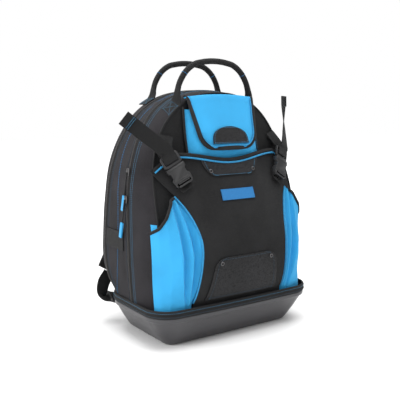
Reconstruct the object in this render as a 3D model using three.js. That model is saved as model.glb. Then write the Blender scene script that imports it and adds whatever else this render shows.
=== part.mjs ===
// Tool backpack: black cloth body on a hard moulded tray, with blue pockets, two handles, two buckles
// and two shoulder straps. Millimetres, +Z up, front towards -Y, origin under the middle of the foot.

import * as THREE from 'three';
import { mergeVertices } from 'three/addons/utils/BufferGeometryUtils.js';

// Gap between pieces that touch on the real bag
const CLEARANCE = 0.3;

// Moulded tray
const RIM_WIDTH = 345;
const RIM_FRONT = 113;
const RIM_BACK = 87;
const RIM_FRONT_CORNER = 41;
const RIM_BACK_CORNER = 63;
const RIM_BOW = 5;
const FOOT_WIDTH = 272;
const FOOT_FRONT = 86;
const FOOT_BACK = 75;
const FOOT_FRONT_CORNER = 18;
const FOOT_BACK_CORNER = 33;
const FOOT_BOW = 1;
const TRAY_HEIGHT = 58;
const TRAY_WALL = 3.2;
const TRAY_LEDGE = 11;

// Cloth ring between tray and body, its lip standing out beyond the rim
const BINDING_LIP = 1.2;
const BINDING_WALL = 3.2;
const BINDING_HEIGHT = 13;

// Body
const BODY_TOP = 435;
const BODY_DEPTH = 210.6;
const ARCH_SPRING = 238;
const ARCH_POWER = 2.3;
const FRONT_INSET = 20;
const FRONT_TOP_INSET = 5;
const CLOTH = 2.4;
const PAD_THICKNESS = 9;
const PAD_SEAT = 1.8;
const ZIP_WIDTH = 11;
const ZIP_RAISE = 0.9;

// Webbing and buckles
const WEBBING_WIDTH = 25;
const WEBBING_THICKNESS = 1.8;
const BAND_HEIGHT = 33;
const BAND_CENTRE_HEIGHT = 172;
const TAIL_LENGTH = 118;
const BUCKLE_WIDTH = 34;
const BUCKLE_THICKNESS = 9;
const PLUG_THICKNESS = 5;
const LADDER_LENGTH = 22;
const SOCKET_LENGTH = 36;

// Handles
const HANDLE_TOP = 492;
const FRONT_HANDLE_SPAN = 162;
const BACK_HANDLE_SPAN = 152;
const HANDLE_ROUND = 10.5;
const FRONT_HANDLE_DEPTH = -29;
const BACK_HANDLE_DEPTH = 61;

// Front pouch wall and what is sewn on it
const POUCH_TOP = 318;
const POUCH_SHOULDER_RISE = 12;
const POUCH_EAR_DROP = 18;
const POUCH_HALF_WIDTH = 152;
const POUCH_SWEEP = 24;
const PIPING = 3.2;
const POUCH_BINDING_HEIGHT = 6;
const PATCH_THICKNESS = 1.3;
const UPPER_PATCH_HEIGHT = 30;
const UPPER_PATCH_TOP_HALF = 62;
const UPPER_PATCH_FOOT_HALF = 51;
const UPPER_PATCH_CORNER = 14;
const LOWER_PATCH_TOP = 153;
const LOWER_PATCH_FOOT_HALF = 78;
const LOWER_PATCH_TOP_HALF = 65;
const LOWER_PATCH_CORNER = 18;
const LABEL_WIDTH = 70;
const LABEL_HEIGHT = 18;
const LABEL_CENTRE_HEIGHT = 256;
const EYELET_RADIUS = 3.8;
const EYELET_HOLE = 1.9;
const EYELET_THICKNESS = 1.6;
const UPPER_EYELET_PLACE = 46;
const UPPER_EYELET_HEIGHT = 296;
const LOWER_EYELET_PLACE = 54;
const LOWER_EYELET_HEIGHT = 144;

// Top pocket and its flap
const FLAP_TOP = 421;
const FLAP_BOTTOM = 335;
const FLAP_HALF_WIDTH = 71;
const FLAP_FOOT_HALF_WIDTH = 57;
const FLAP_CORNER = 24;
const FLAP_CROWN = 5;
const TOP_POCKET_TOP = 402;
const TOP_POCKET_BOTTOM = 300;
const TOP_POCKET_REAR_HALF = 76;
const TOP_POCKET_FRONT_HALF = 57;
const FLAP_PATCH_WIDTH = 76;
const FLAP_PATCH_HEIGHT = 29;
const FLAP_PATCH_BOTTOM = 343;

// Side pockets
const POCKET_REAR_TOP = 196;
const POCKET_FRONT_TOP = 260;
const INNER_POCKET_RISE = 16;
const INNER_POCKET_DEPTH = 11;
const POCKET_ROWS = 9;

// Shoulder straps
const STRAP_WIDTH = 58;
const STRAP_THICKNESS = 11;

// Zip pulls
const SLIDER_HEIGHTS = { upper: 296, lower: 249 };
const SLIDER_SIZE = 9;
const SLIDER_DEPTH = 3.2;
const LINK_WIDTH = 3.4;
const LINK_LENGTH = 42;
const LINK_THICKNESS = 1.6;
const TAB_WIDTH = 7.5;
const TAB_LENGTH = 28;
const TAB_THICKNESS = 4;

// Values that follow from the sizes above
const BASE = TRAY_HEIGHT + CLEARANCE;
const SEAT = CLEARANCE * 2;
const BODY_HALF = RIM_WIDTH / 2 + BINDING_LIP - BINDING_WALL - ZIP_RAISE - CLEARANCE;
const DEPTH_HALF = BODY_DEPTH / 2;

// Columns of the body's arch on one side, as shares of the way up; they are closer at the foot
const ARCH_CLIMBS = [0, 0.021, 0.05, ...Array.from({ length: 12 }, (_, i) => (i + 1) / 12)];
const ARCH_COLUMNS = 2 * (ARCH_CLIMBS.length - 1);
const STRAIGHT_SHARE = 0.25;

// Colours and finishes seen in the photograph
const FINISH = {
  cloth: { color: 0x232224, roughness: 0.92, metalness: 0 },
  blue: { color: 0x34a5e8, roughness: 0.85, metalness: 0 },
  webbing: { color: 0x1a1a1b, roughness: 0.8, metalness: 0 },
  tray: { color: 0x3a3a3d, roughness: 0.45, metalness: 0 },
  plastic: { color: 0x1c1c1d, roughness: 0.4, metalness: 0 },
  patch: { color: 0x303032, roughness: 0.75, metalness: 0 },
  zip: { color: 0x151516, roughness: 0.6, metalness: 0 },
  metal: { color: 0x77787a, roughness: 0.35, metalness: 0.9 },
};

// Body sections: height is a share of BODY_TOP, the other columns are shares of DEPTH_HALF
const BODY_SECTIONS = [
  { height: 0.133, back: 0.76, backZip: 0.36, frontZip: -0.226, front: -0.847, bulge: 0.13, corner: 0.54 },
  { height: 0.17, back: 0.77, backZip: 0.4, frontZip: -0.2, front: -0.847, bulge: 0.13, corner: 0.53 },
  { height: 0.22, back: 0.93, backZip: 0.6, frontZip: -0.17, front: -0.885, bulge: 0.13, corner: 0.36 },
  { height: 0.265, back: 0.98, backZip: 0.7, frontZip: -0.15, front: -0.88, bulge: 0.13, corner: 0.23 },
  { height: 0.333, back: 0.99, backZip: 0.75, frontZip: -0.122, front: -0.857, bulge: 0.13, corner: 0.18 },
  { height: 0.489, back: 0.905, backZip: 0.68, frontZip: -0.104, front: -0.753, bulge: 0.12, corner: 0.16 },
  { height: 0.587, back: 0.82, backZip: 0.6, frontZip: -0.104, front: -0.66, bulge: 0.113, corner: 0.15 },
  { height: 0.685, back: 0.763, backZip: 0.54, frontZip: -0.113, front: -0.537, bulge: 0.094, corner: 0.14 },
  { height: 0.813, back: 0.706, backZip: 0.47, frontZip: -0.085, front: -0.43, bulge: 0.065, corner: 0.13 },
  { height: 0.943, back: 0.678, backZip: 0.38, frontZip: 0.02, front: -0.385, bulge: 0.05, corner: 0.12 },
  { height: 1, back: 0.66, backZip: 0.34, frontZip: 0.075, front: -0.37, bulge: 0.045, corner: 0.12 },
];

// Pouch wall: height is a share of POUCH_TOP, depth of DEPTH_HALF, sweep of POUCH_SWEEP (how far the
// sides fall back)
const POUCH_SECTIONS = [
  { height: 0.18, depth: 1.035, sweep: 0.34 },
  { height: 0.232, depth: 1.035, sweep: 0.4 },
  { height: 0.28, depth: 1.12, sweep: 0.5 },
  { height: 0.346, depth: 1.18, sweep: 0.4 },
  { height: 0.453, depth: 1.22, sweep: 0.2 },
  { height: 0.566, depth: 1.21, sweep: 0.15 },
  { height: 0.66, depth: 1.13, sweep: 0.45 },
  { height: 0.805, depth: 0.965, sweep: 1 },
  { height: 0.93, depth: 0.8, sweep: 1 },
  { height: 1, depth: 0.74, sweep: 1 },
  { height: 1.06, depth: 0.7, sweep: 1 },
];

// Pouch wall outline: rise runs from its foot to its top edge, width is a share of POUCH_HALF_WIDTH
const POUCH_OUTLINE = [
  { rise: 0, width: 0.645 },
  { rise: 0.15, width: 0.625 },
  { rise: 0.35, width: 0.598 },
  { rise: 0.5, width: 0.592 },
  { rise: 0.6, width: 0.615 },
  { rise: 0.7, width: 0.665 },
  { rise: 0.78, width: 0.73 },
  { rise: 0.85, width: 0.81 },
  { rise: 0.92, width: 0.9 },
  { rise: 1, width: 1 },
];

// Handle from its sewn end to its crown: out is a share of the half span, rise of its height above the
// arch, and round goes from flat webbing (0) to a rolled tube (1)
const HANDLE_PATH = [
  { out: 1.28, rise: 0, round: 0 },
  { out: 1.15, rise: 0, round: 0 },
  { out: 1.04, rise: 0.01, round: 0 },
  { out: 0.99, rise: 0.09, round: 0.2 },
  { out: 0.96, rise: 0.25, round: 0.7 },
  { out: 0.89, rise: 0.48, round: 1 },
  { out: 0.74, rise: 0.73, round: 1 },
  { out: 0.52, rise: 0.91, round: 1 },
  { out: 0.26, rise: 0.98, round: 1 },
];

// Rises of the pouch wall's rows, closer together where it leaves the binding
const POUCH_ROWS = [0, 0.06, 0.09, 0.13, 0.19, 0.27, 0.36, 0.46, 0.56, 0.66, 0.76, 0.86, 0.94, 1];

// Flap from its free edge to its hinge: height is a share of the flap, depth of DEPTH_HALF
const FLAP_SECTIONS = [
  { rise: 0, height: 0, depth: 0.785 },
  { rise: 0.3, height: 0.32, depth: 0.715 },
  { rise: 0.55, height: 0.59, depth: 0.63 },
  { rise: 0.8, height: 0.87, depth: 0.545 },
  { rise: 0.92, height: 1.03, depth: 0.49 },
  { rise: 1, height: 1.02, depth: 0.405 },
];

// Top pocket front wall: height is a share of the pocket, depth of DEPTH_HALF
const TOP_POCKET_SECTIONS = [
  { rise: 0, depth: 0.69 },
  { rise: 0.2, depth: 0.675 },
  { rise: 0.42, depth: 0.67 },
  { rise: 0.58, depth: 0.63 },
  { rise: 0.8, depth: 0.56 },
  { rise: 1, depth: 0.5 },
];

// Fold lines of a side pocket from the side gusset to the pouch wall, places as shares of BODY_HALF
// and DEPTH_HALF at the foot, the middle and the mouth; mouth is a share of the pocket mouth's rise
const POCKET_FOLDS = [
  { footX: 0.953, footY: 0.8, midX: 0.95, midY: 0.74, topX: 0.96, topY: 0.72, mouth: 0 },
  { footX: 0.91, footY: 0.89, midX: 0.895, midY: 0.88, topX: 0.91, topY: 0.86, mouth: 0.14 },
  { footX: 0.83, footY: 0.98, midX: 0.825, midY: 1.03, topX: 0.855, topY: 0.94, mouth: 0.42 },
  { footX: 0.69, footY: 1.02, midX: 0.745, midY: 1.145, topX: 0.79, topY: 0.9, mouth: 0.76 },
  { footX: 0.665, footY: 0.995, midX: 0.705, midY: 1.055, topX: 0.765, topY: 0.84, mouth: 0.84 },
  { footX: 0.635, footY: 1.02, midX: 0.635, midY: 1.175, topX: 0.74, topY: 0.87, mouth: 0.92 },
  { footX: 0.61, footY: 1.0, midX: 0.595, midY: 1.09, topX: 0.72, topY: 0.8, mouth: 0.97 },
];

// Middle line of a shoulder strap: height is a share of BODY_TOP, out its distance from the bag's
// middle, slack how far it stands off the back
const STRAP_ROUTE = [
  { height: 0.93, out: 40, slack: -4.5 },
  { height: 0.86, out: 50, slack: 7 },
  { height: 0.7, out: 66, slack: 18 },
  { height: 0.5, out: 86, slack: 20 },
  { height: 0.33, out: 114, slack: 10 },
  { height: 0.215, out: 147, slack: 5 },
];

// Reads one column of a table at a place of its first column, with a smooth curve through the rows
function readTable(table, key, column, at) {
  const last = table.length - 1;
  if (at <= table[0][key]) return table[0][column];
  if (at >= table[last][key]) return table[last][column];
  const row = table.findIndex((entry) => entry[key] > at) - 1;
  const slope = (index) => {
    const low = table[Math.max(index - 1, 0)];
    const high = table[Math.min(index + 1, last)];
    return (high[column] - low[column]) / (high[key] - low[key]);
  };
  const span = table[row + 1][key] - table[row][key];
  const share = (at - table[row][key]) / span;
  const square = share * share;
  const cube = square * share;
  return (2 * cube - 3 * square + 1) * table[row][column]
    + (cube - 2 * square + share) * span * slope(row)
    + (3 * square - 2 * cube) * table[row + 1][column]
    + (cube - square) * span * slope(row + 1);
}

// Closes rings of points into one solid; ends is 'fan', 'strip' (for sheets) or 'joined' (a loop). The
// two faces of a sheet are split into triangles the same way, so that it keeps its thickness in a twist
function solidFromRings(rings, ends) {
  const count = rings[0].length;
  const index = [];
  const bands = ends === 'joined' ? rings.length : rings.length - 1;
  for (let band = 0; band < bands; band += 1) {
    const here = band * count;
    const next = ((band + 1) % rings.length) * count;
    for (let i = 0; i < count; i += 1) {
      const j = (i + 1) % count;
      if (ends === 'strip' && i >= count / 2) {
        index.push(here + i, here + j, next + i, here + j, next + j, next + i);
      } else {
        index.push(here + i, here + j, next + j, here + i, next + j, next + i);
      }
    }
  }
  if (ends !== 'joined') {
    addEnd(index, 0, count, ends, true);
    addEnd(index, (rings.length - 1) * count, count, ends, false);
  }
  const positions = rings.flat().flatMap((point) => [point.x, point.y, point.z]);
  const geometry = new THREE.BufferGeometry();
  geometry.setAttribute('position', new THREE.Float32BufferAttribute(positions, 3));
  geometry.setIndex(index);
  return closed(geometry);
}

function addEnd(index, start, count, ends, flipped) {
  const push = (a, b, c) => index.push(start + a, start + (flipped ? c : b), start + (flipped ? b : c));
  if (ends === 'fan') {
    for (let i = 1; i < count - 1; i += 1) push(0, i, i + 1);
    return;
  }
  for (let i = 0; i < count / 2 - 1; i += 1) {
    push(i, i + 1, count - 2 - i);
    push(i, count - 2 - i, count - 1 - i);
  }
}

// Shares vertices, drops empty triangles and turns the faces outward
function closed(source) {
  const bare = new THREE.BufferGeometry();
  bare.setAttribute('position', source.getAttribute('position').clone());
  bare.setIndex(source.getIndex());
  const merged = mergeVertices(bare, 1e-3);
  const old = merged.getIndex().array;
  const points = merged.getAttribute('position');
  const corner = (i) => new THREE.Vector3().fromBufferAttribute(points, i);
  const index = [];
  let volume = 0;
  for (let i = 0; i < old.length; i += 3) {
    const [a, b, c] = [old[i], old[i + 1], old[i + 2]];
    if (a !== b && b !== c && c !== a) {
      index.push(a, b, c);
      volume += corner(a).dot(corner(b).cross(corner(c)));
    }
  }
  if (volume < 0) index.reverse();
  merged.setIndex(index);
  merged.computeVertexNormals();
  return merged;
}

// Outward normals of a grid of points, also where several points of the grid share one place
function gridNormals(grid) {
  const key = (p) => `${p.x.toFixed(2)},${p.y.toFixed(2)},${p.z.toFixed(2)}`;
  const sums = new Map();
  const add = (point, normal) => {
    const name = key(point);
    if (!sums.has(name)) sums.set(name, new THREE.Vector3());
    sums.get(name).add(normal);
  };
  for (let row = 0; row < grid.length - 1; row += 1) {
    for (let column = 0; column < grid[0].length - 1; column += 1) {
      const [a, b] = [grid[row][column], grid[row][column + 1]];
      const [c, d] = [grid[row + 1][column], grid[row + 1][column + 1]];
      const normal = d.clone().sub(a).cross(c.clone().sub(b));
      [a, b, c, d].forEach((point) => add(point, normal));
    }
  }
  return grid.map((line) => line.map((point) => sums.get(key(point)).clone().normalize()));
}

// A piece of cloth: place(u, v) gives its outer face, and its thickness goes inwards
function sheet(columns, rows, place, thickness) {
  const grid = [];
  for (let row = 0; row <= rows; row += 1) {
    const line = [];
    for (let column = 0; column <= columns; column += 1) line.push(place(column / columns, row / rows));
    grid.push(line);
  }
  const normals = gridNormals(grid);
  const rings = grid.map((line, row) => {
    const inner = line.map((point, i) => point.clone().addScaledVector(normals[row][i], -thickness));
    return [...line, ...inner.reverse()];
  });
  return solidFromRings(rings, 'strip');
}

// Turns a surface of the right side into the one of the given side
function onSide(side, place) {
  return (u, v) => {
    const point = place(side > 0 ? u : 1 - u, v);
    point.x *= side;
    return point;
  };
}

// Moves a surface outwards along its normal
function raised(place, distance) {
  const step = 0.01;
  return (u, v) => {
    const [u0, u1] = [Math.max(u - step, 0), Math.min(u + step, 1)];
    const [v0, v1] = [Math.max(v - step, 0), Math.min(v + step, 1)];
    const across = place(u1, v).sub(place(u0, v));
    const along = place(u, v1).sub(place(u, v0));
    return place(u, v).addScaledVector(across.cross(along).normalize(), distance);
  };
}

// A round cord through chosen points, made by extruding a small polygon along the curve
function tube(points, diameter, steps, sides = 6) {
  const outline = [];
  for (let i = 0; i < sides; i += 1) {
    const angle = (2 * Math.PI * i) / sides;
    outline.push(new THREE.Vector2(Math.cos(angle), Math.sin(angle)).multiplyScalar(diameter / 2));
  }
  const curve = new THREE.CatmullRomCurve3(points);
  const options = { steps, bevelEnabled: false, extrudePath: curve };
  return closed(new THREE.ExtrudeGeometry(new THREE.Shape(outline), options));
}

// A flat strap along a curve: its outer face lies on the curve and looks towards out(v)
function webbing(points, out, width, thickness, steps) {
  const curve = new THREE.CatmullRomCurve3(points);
  const place = (u, v) => {
    const across = curve.getTangent(v).cross(out(v)).normalize();
    return curve.getPoint(v).addScaledVector(across, (u - 0.5) * width);
  };
  return sheet(1, steps, place, thickness);
}

// Outline of the tray at a spread from foot (0) to rim (1), moved inwards by inset
function trayOutline(spread, inset, z) {
  const mix = (foot, rim) => foot + (rim - foot) * spread;
  const halfWidth = mix(FOOT_WIDTH, RIM_WIDTH) / 2 - inset;
  const front = mix(FOOT_FRONT, RIM_FRONT) - inset;
  const back = mix(FOOT_BACK, RIM_BACK) - inset;
  const frontRadius = Math.max(mix(FOOT_FRONT_CORNER, RIM_FRONT_CORNER) - inset, 1);
  const backRadius = Math.max(mix(FOOT_BACK_CORNER, RIM_BACK_CORNER) - inset, 1);
  const bow = mix(FOOT_BOW, RIM_BOW);
  const cornerSteps = 5;
  const corners = [
    { sideX: 1, depth: -front, start: -90, radius: frontRadius },
    { sideX: 1, depth: back, start: 0, radius: backRadius },
    { sideX: -1, depth: back, start: 90, radius: backRadius },
    { sideX: -1, depth: -front, start: 180, radius: frontRadius },
  ];
  const cornerPoint = ({ sideX, depth, start, radius }, share) => {
    const angle = THREE.MathUtils.degToRad(start + 90 * share);
    const x = sideX * (halfWidth - radius) + radius * Math.cos(angle);
    const y = depth - Math.sign(depth) * radius + radius * Math.sin(angle);
    return new THREE.Vector3(x, y, z);
  };
  const points = [];
  corners.forEach((corner, i) => {
    for (let step = 0; step <= cornerSteps; step += 1) points.push(cornerPoint(corner, step / cornerSteps));
    const from = cornerPoint(corner, 1);
    const to = cornerPoint(corners[(i + 1) % corners.length], 0);
    [0.25, 0.5, 0.75].forEach((share) => points.push(from.clone().lerp(to, share)));
  });
  return points.map((point) => {
    const frontShare = Math.max(-point.y / front, 0);
    const widthShare = point.x / halfWidth;
    point.y -= bow * frontShare * (1 - widthShare * widthShare);
    return point;
  });
}

function baseTray() {
  const rows = [
    { height: 0, spread: 0, inset: 5 },
    { height: 0.03, spread: 0.01, inset: 1.2 },
    { height: 0.11, spread: 0.1, inset: 0 },
    { height: 0.84, spread: 0.88, inset: 0 },
    { height: 0.87, spread: 1, inset: 0.6 },
    { height: 0.9, spread: 1, inset: 0 },
    { height: 1, spread: 1, inset: 0 },
    { height: 1, spread: 1, inset: TRAY_LEDGE },
    { height: 0.84, spread: 0.88, inset: TRAY_WALL * 1.25 },
    { height: 0.13, spread: 0.1, inset: TRAY_WALL * 1.25 },
    { height: TRAY_WALL / TRAY_HEIGHT, spread: 0.01, inset: TRAY_WALL * 2 },
  ];
  const rings = rows.map((row) => trayOutline(row.spread, row.inset, row.height * TRAY_HEIGHT));
  return solidFromRings(rings, 'fan');
}

// The cloth ring on the rim, as a section carried round the tray's outline
function rimBinding() {
  const low = BASE;
  const high = BASE + BINDING_HEIGHT;
  const rounding = 1.4;
  const section = [
    [BINDING_WALL - BINDING_LIP, low],
    [-BINDING_LIP + rounding / 2, low],
    [-BINDING_LIP, low + BINDING_HEIGHT * 0.35],
    [-BINDING_LIP, high - rounding],
    [-BINDING_LIP + rounding, high],
    [BINDING_WALL - BINDING_LIP, high],
  ];
  return solidFromRings(section.map(([inset, z]) => trayOutline(1, inset, z)), 'joined');
}

// Half the body's width at a height, moved inwards by inset
function bodyHalfWidth(z, inset = 0, topInset = inset) {
  const rise = (z - ARCH_SPRING) / (BODY_TOP - topInset - ARCH_SPRING);
  if (rise <= 0) return BODY_HALF - inset;
  if (rise >= 1) return 0;
  return (BODY_HALF - inset) * (1 - rise ** ARCH_POWER) ** (1 / ARCH_POWER);
}

// Point of the body's arch: t runs from the left foot (0) over the top (0.5) to the right foot (1)
function archPoint(t, inset, topInset = inset) {
  const side = t < 0.5 ? -1 : 1;
  const step = (1 - Math.abs(2 * t - 1)) * (ARCH_CLIMBS.length - 1);
  const low = Math.min(Math.floor(step + 1e-6), ARCH_CLIMBS.length - 2);
  const climb = ARCH_CLIMBS[low] + (ARCH_CLIMBS[low + 1] - ARCH_CLIMBS[low]) * (step - low);
  const halfWidth = BODY_HALF - inset;
  if (climb < STRAIGHT_SHARE) {
    return { x: side * halfWidth, z: BASE + ((ARCH_SPRING - BASE) * climb) / STRAIGHT_SHARE };
  }
  const angle = (((climb - STRAIGHT_SHARE) / (1 - STRAIGHT_SHARE)) * Math.PI) / 2;
  const power = 2 / ARCH_POWER;
  const x = side * halfWidth * Math.max(Math.cos(angle), 0) ** power;
  const z = ARCH_SPRING + (BODY_TOP - topInset - ARCH_SPRING) * Math.sin(angle) ** power;
  return { x, z };
}

// Depth of one lane of the body, such as a zip or a seam, at a height
function lane(name, z) {
  return DEPTH_HALF * readTable(BODY_SECTIONS, 'height', name, z / BODY_TOP);
}

// The gusset draws in between the front zip and the front seam; both insets follow its depth
function gussetDraw(y, z) {
  const zip = lane('frontZip', z);
  const share = Math.min(Math.max((zip - y) / (zip - lane('front', z)), 0), 1);
  return share * share;
}

// How far the body's rounded back edge lies inside its full width at a depth
function backInset(y, z) {
  const radius = lane('corner', z);
  const reach = Math.min(y - (lane('back', z) - radius), radius);
  return reach > 0 ? radius - Math.sqrt(radius * radius - reach * reach) : 0;
}

// Point of the side and top gusset at a place along the arch and a depth, raised by offset
function gussetPoint(t, depthAt, offset = 0) {
  const flat = archPoint(t, 0);
  const draw = gussetDraw(depthAt(flat.z), flat.z);
  const edge = backInset(depthAt(flat.z), flat.z) - offset;
  const drawn = archPoint(t, FRONT_INSET * draw + edge, FRONT_TOP_INSET * draw + edge);
  return new THREE.Vector3(drawn.x, depthAt(drawn.z), drawn.z);
}

// How far out a point of the front wall lies, from the middle of its foot (0) to the front seam (1)
function seamShare(x, z) {
  let low = 0.001;
  let high = 1.5;
  for (let i = 0; i < 30; i += 1) {
    const share = (low + high) / 2;
    const reach = bodyHalfWidth(BASE + (z - BASE) / share, FRONT_INSET, FRONT_TOP_INSET);
    if (Math.abs(x / share) < reach) high = share;
    else low = share;
  }
  return high;
}

// Depth of the body's front wall
function frontWall(x, z) {
  const share = Math.min(seamShare(x, z), 1);
  return lane('front', z) - lane('bulge', z) * (1 - share ** 4);
}

function frontShell() {
  const panelShares = [0, 0.25, 0.48, 0.68, 0.86, 1];
  const stripRows = 2;
  const rows = panelShares.length - 1 + stripRows;
  const place = (u, v) => {
    const row = Math.round(v * rows);
    if (row < panelShares.length) {
      const share = panelShares[row];
      const rim = archPoint(u, FRONT_INSET, FRONT_TOP_INSET);
      const x = rim.x * share;
      const z = BASE + (rim.z - BASE) * share;
      return new THREE.Vector3(x, frontWall(x, z), z);
    }
    const strip = (row - panelShares.length + 1) / stripRows;
    const edge = ZIP_WIDTH / 2 + CLEARANCE;
    return gussetPoint(u, (z) => {
      const seam = lane('front', z);
      return seam + (lane('frontZip', z) - edge - seam) * strip;
    });
  };
  return sheet(ARCH_COLUMNS, rows, place, CLOTH);
}

function middleGusset() {
  const edge = ZIP_WIDTH / 2 + CLEARANCE;
  const place = (u, v) => gussetPoint(u, (z) => {
    const front = lane('frontZip', z) + edge;
    const back = lane('backZip', z) - edge;
    return front + (back - front) * v;
  });
  return sheet(ARCH_COLUMNS, 2, place, CLOTH);
}

function zipBand(name) {
  const place = (u, v) => {
    const height = ZIP_RAISE * (1 - Math.abs(2 * v - 1));
    return gussetPoint(u, (z) => lane(name, z) + (v - 0.5) * ZIP_WIDTH, height);
  };
  return sheet(ARCH_COLUMNS, 2, place, CLOTH);
}

// The back wall with its rounded edge and the strip behind the back zip
function backCover() {
  const arcRows = 4;
  const panelShares = [0.8, 0.6, 0.4, 0.2, 0.05, 0];
  const rows = arcRows + panelShares.length;
  const seam = (z) => lane('backZip', z) + ZIP_WIDTH / 2 + CLEARANCE;
  const place = (u, v) => {
    const row = Math.round(v * rows);
    if (row === 0) return gussetPoint(u, seam);
    const flat = archPoint(u, 0);
    const radius = lane('corner', flat.z);
    const begin = seam(flat.z) + CLEARANCE * 3 - (lane('back', flat.z) - radius);
    const first = Math.asin(Math.min(Math.max(begin / radius, 0), 0.9));
    const turn = first + (Math.PI / 2 - first) * Math.min((row - 1) / (arcRows - 1), 1);
    const rim = archPoint(u, radius * (1 - Math.cos(turn)));
    const panelShare = row <= arcRows ? 1 : panelShares[row - arcRows - 1];
    const x = rim.x * panelShare;
    const z = BASE + (rim.z - BASE) * panelShare;
    return new THREE.Vector3(x, lane('back', z) - radius * (1 - Math.sin(turn)), z);
  };
  return sheet(ARCH_COLUMNS, rows, place, CLOTH);
}

function backPad() {
  const halfWidth = BODY_HALF * 0.62;
  const low = BODY_TOP * 0.24;
  const high = BODY_TOP * 0.84;
  const place = (u, v) => {
    const z = low + (high - low) * v;
    const edge = Math.min(u, 1 - u, v, 1 - v);
    const swell = Math.min(edge * 5, 1);
    const narrow = 1 - 0.12 * (2 * v - 1) ** 4;
    const y = lane('back', z) + PAD_SEAT + CLOTH + (PAD_THICKNESS - CLOTH) * Math.sqrt(swell);
    return new THREE.Vector3(halfWidth * narrow * (1 - 2 * u), y, z);
  };
  return sheet(6, 8, place, CLOTH);
}

// Handles: round webbing in the middle, flat sewn ends on the arch
function handle(span, depth) {
  const foot = span / 2;
  const sewn = CLEARANCE + WEBBING_THICKNESS / 2;
  const draw = gussetDraw(depth + WEBBING_WIDTH / 2, BODY_TOP);
  const onArch = (x) => {
    const reach = BODY_HALF - FRONT_INSET * draw + sewn;
    const top = BODY_TOP - FRONT_TOP_INSET * draw + sewn - ARCH_SPRING;
    return ARCH_SPRING + top * (1 - (Math.abs(x) / reach) ** ARCH_POWER) ** (1 / ARCH_POWER);
  };
  const rise = HANDLE_TOP - HANDLE_ROUND / 2 - onArch(foot);
  const half = HANDLE_PATH.map((step) => {
    const base = onArch(Math.max(step.out, 1) * foot);
    return [foot * step.out, base + rise * step.rise, step.round];
  });
  const middle = [[0, onArch(foot) + rise, 1]];
  const path = [...half.map(([x, z, round]) => [-x, z, round]), ...middle, ...[...half].reverse()];
  const sides = 8;
  const flatStretch = 1 / Math.cos(Math.PI / sides) - 1;
  const rings = path.map(([x, z, round], i) => {
    const before = path[Math.max(i - 1, 0)];
    const after = path[Math.min(i + 1, path.length - 1)];
    const along = new THREE.Vector3(after[0] - before[0], 0, after[1] - before[1]).normalize();
    const out = new THREE.Vector3(-along.z, 0, along.x);
    const halfWidth = (WEBBING_WIDTH + (HANDLE_ROUND - WEBBING_WIDTH) * round) / 2;
    const halfThickness = (WEBBING_THICKNESS + (HANDLE_ROUND - WEBBING_THICKNESS) * round) / 2;
    const ring = [];
    for (let k = 0; k < sides; k += 1) {
      const angle = (2 * Math.PI * (k + 0.5)) / sides;
      const stretch = 1 + (1 - round) * flatStretch;
      const across = Math.cos(angle) * stretch * halfWidth;
      const flat = Math.sign(Math.sin(angle)) * halfThickness;
      const up = flat + (Math.sin(angle) * halfThickness - flat) * round;
      ring.push(new THREE.Vector3(x, depth + across, z).addScaledVector(out, up));
    }
    return ring;
  });
  return solidFromRings(rings, 'fan');
}

function gussetBand(side) {
  const low = BAND_CENTRE_HEIGHT - BAND_HEIGHT / 2;
  const edge = ZIP_WIDTH / 2 + CLEARANCE;
  const place = (u, v) => {
    const z = low + BAND_HEIGHT * v;
    const front = lane('frontZip', z) + edge * 3;
    const back = lane('backZip', z) - edge * 1.2;
    const x = bodyHalfWidth(z) + CLEARANCE + WEBBING_THICKNESS;
    return new THREE.Vector3(x, front + (back - front) * u, z);
  };
  return sheet(3, 1, onSide(side, place), WEBBING_THICKNESS);
}

// Top edge of the pouch wall: lowest in the middle, higher at the shoulders, falling to the ears
function pouchTop(x) {
  const share = Math.min(Math.abs(x) / POUCH_HALF_WIDTH, 1);
  const shoulder = 0.68;
  if (share < shoulder) {
    return POUCH_TOP + POUCH_SHOULDER_RISE * (1 - Math.cos((Math.PI * share) / shoulder)) / 2;
  }
  const fall = (share - shoulder) / (1 - shoulder);
  return POUCH_TOP + POUCH_SHOULDER_RISE - (POUCH_SHOULDER_RISE + POUCH_EAR_DROP) * fall ** 1.4;
}

// Depth of the pouch wall's outer face
function pouchWall(x, z) {
  const share = z / POUCH_TOP;
  const depth = DEPTH_HALF * readTable(POUCH_SECTIONS, 'height', 'depth', share);
  const sweep = POUCH_SWEEP * readTable(POUCH_SECTIONS, 'height', 'sweep', share);
  return -depth + sweep * Math.min(Math.abs(x) / POUCH_HALF_WIDTH, 1) ** 2.4;
}

function pouchPoint(x, z) {
  return new THREE.Vector3(x, pouchWall(x, z), z);
}

// Surface of the pouch wall over its own outline
function pouchPlace(u, v) {
  const halfWidth = POUCH_HALF_WIDTH * readTable(POUCH_OUTLINE, 'rise', 'width', v);
  const across = 2 * u - 1;
  const x = halfWidth * across;
  const z = BASE + (pouchTop(POUCH_HALF_WIDTH * across) - BASE) * v;
  return pouchPoint(x, z);
}

function frontPanel() {
  const last = POUCH_ROWS.length - 1;
  return sheet(14, last, (u, v) => pouchPlace(u, POUCH_ROWS[Math.round(v * last)]), CLOTH);
}

// Half width of a patch whose corners are rounded at one end (v = 0)
function roundedWidth(v, height, radius, start, end) {
  const distance = v * height;
  const width = start + (end - start) * v;
  if (distance >= radius) return width;
  return width - radius + Math.sqrt(radius * radius - (radius - distance) ** 2);
}

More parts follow.
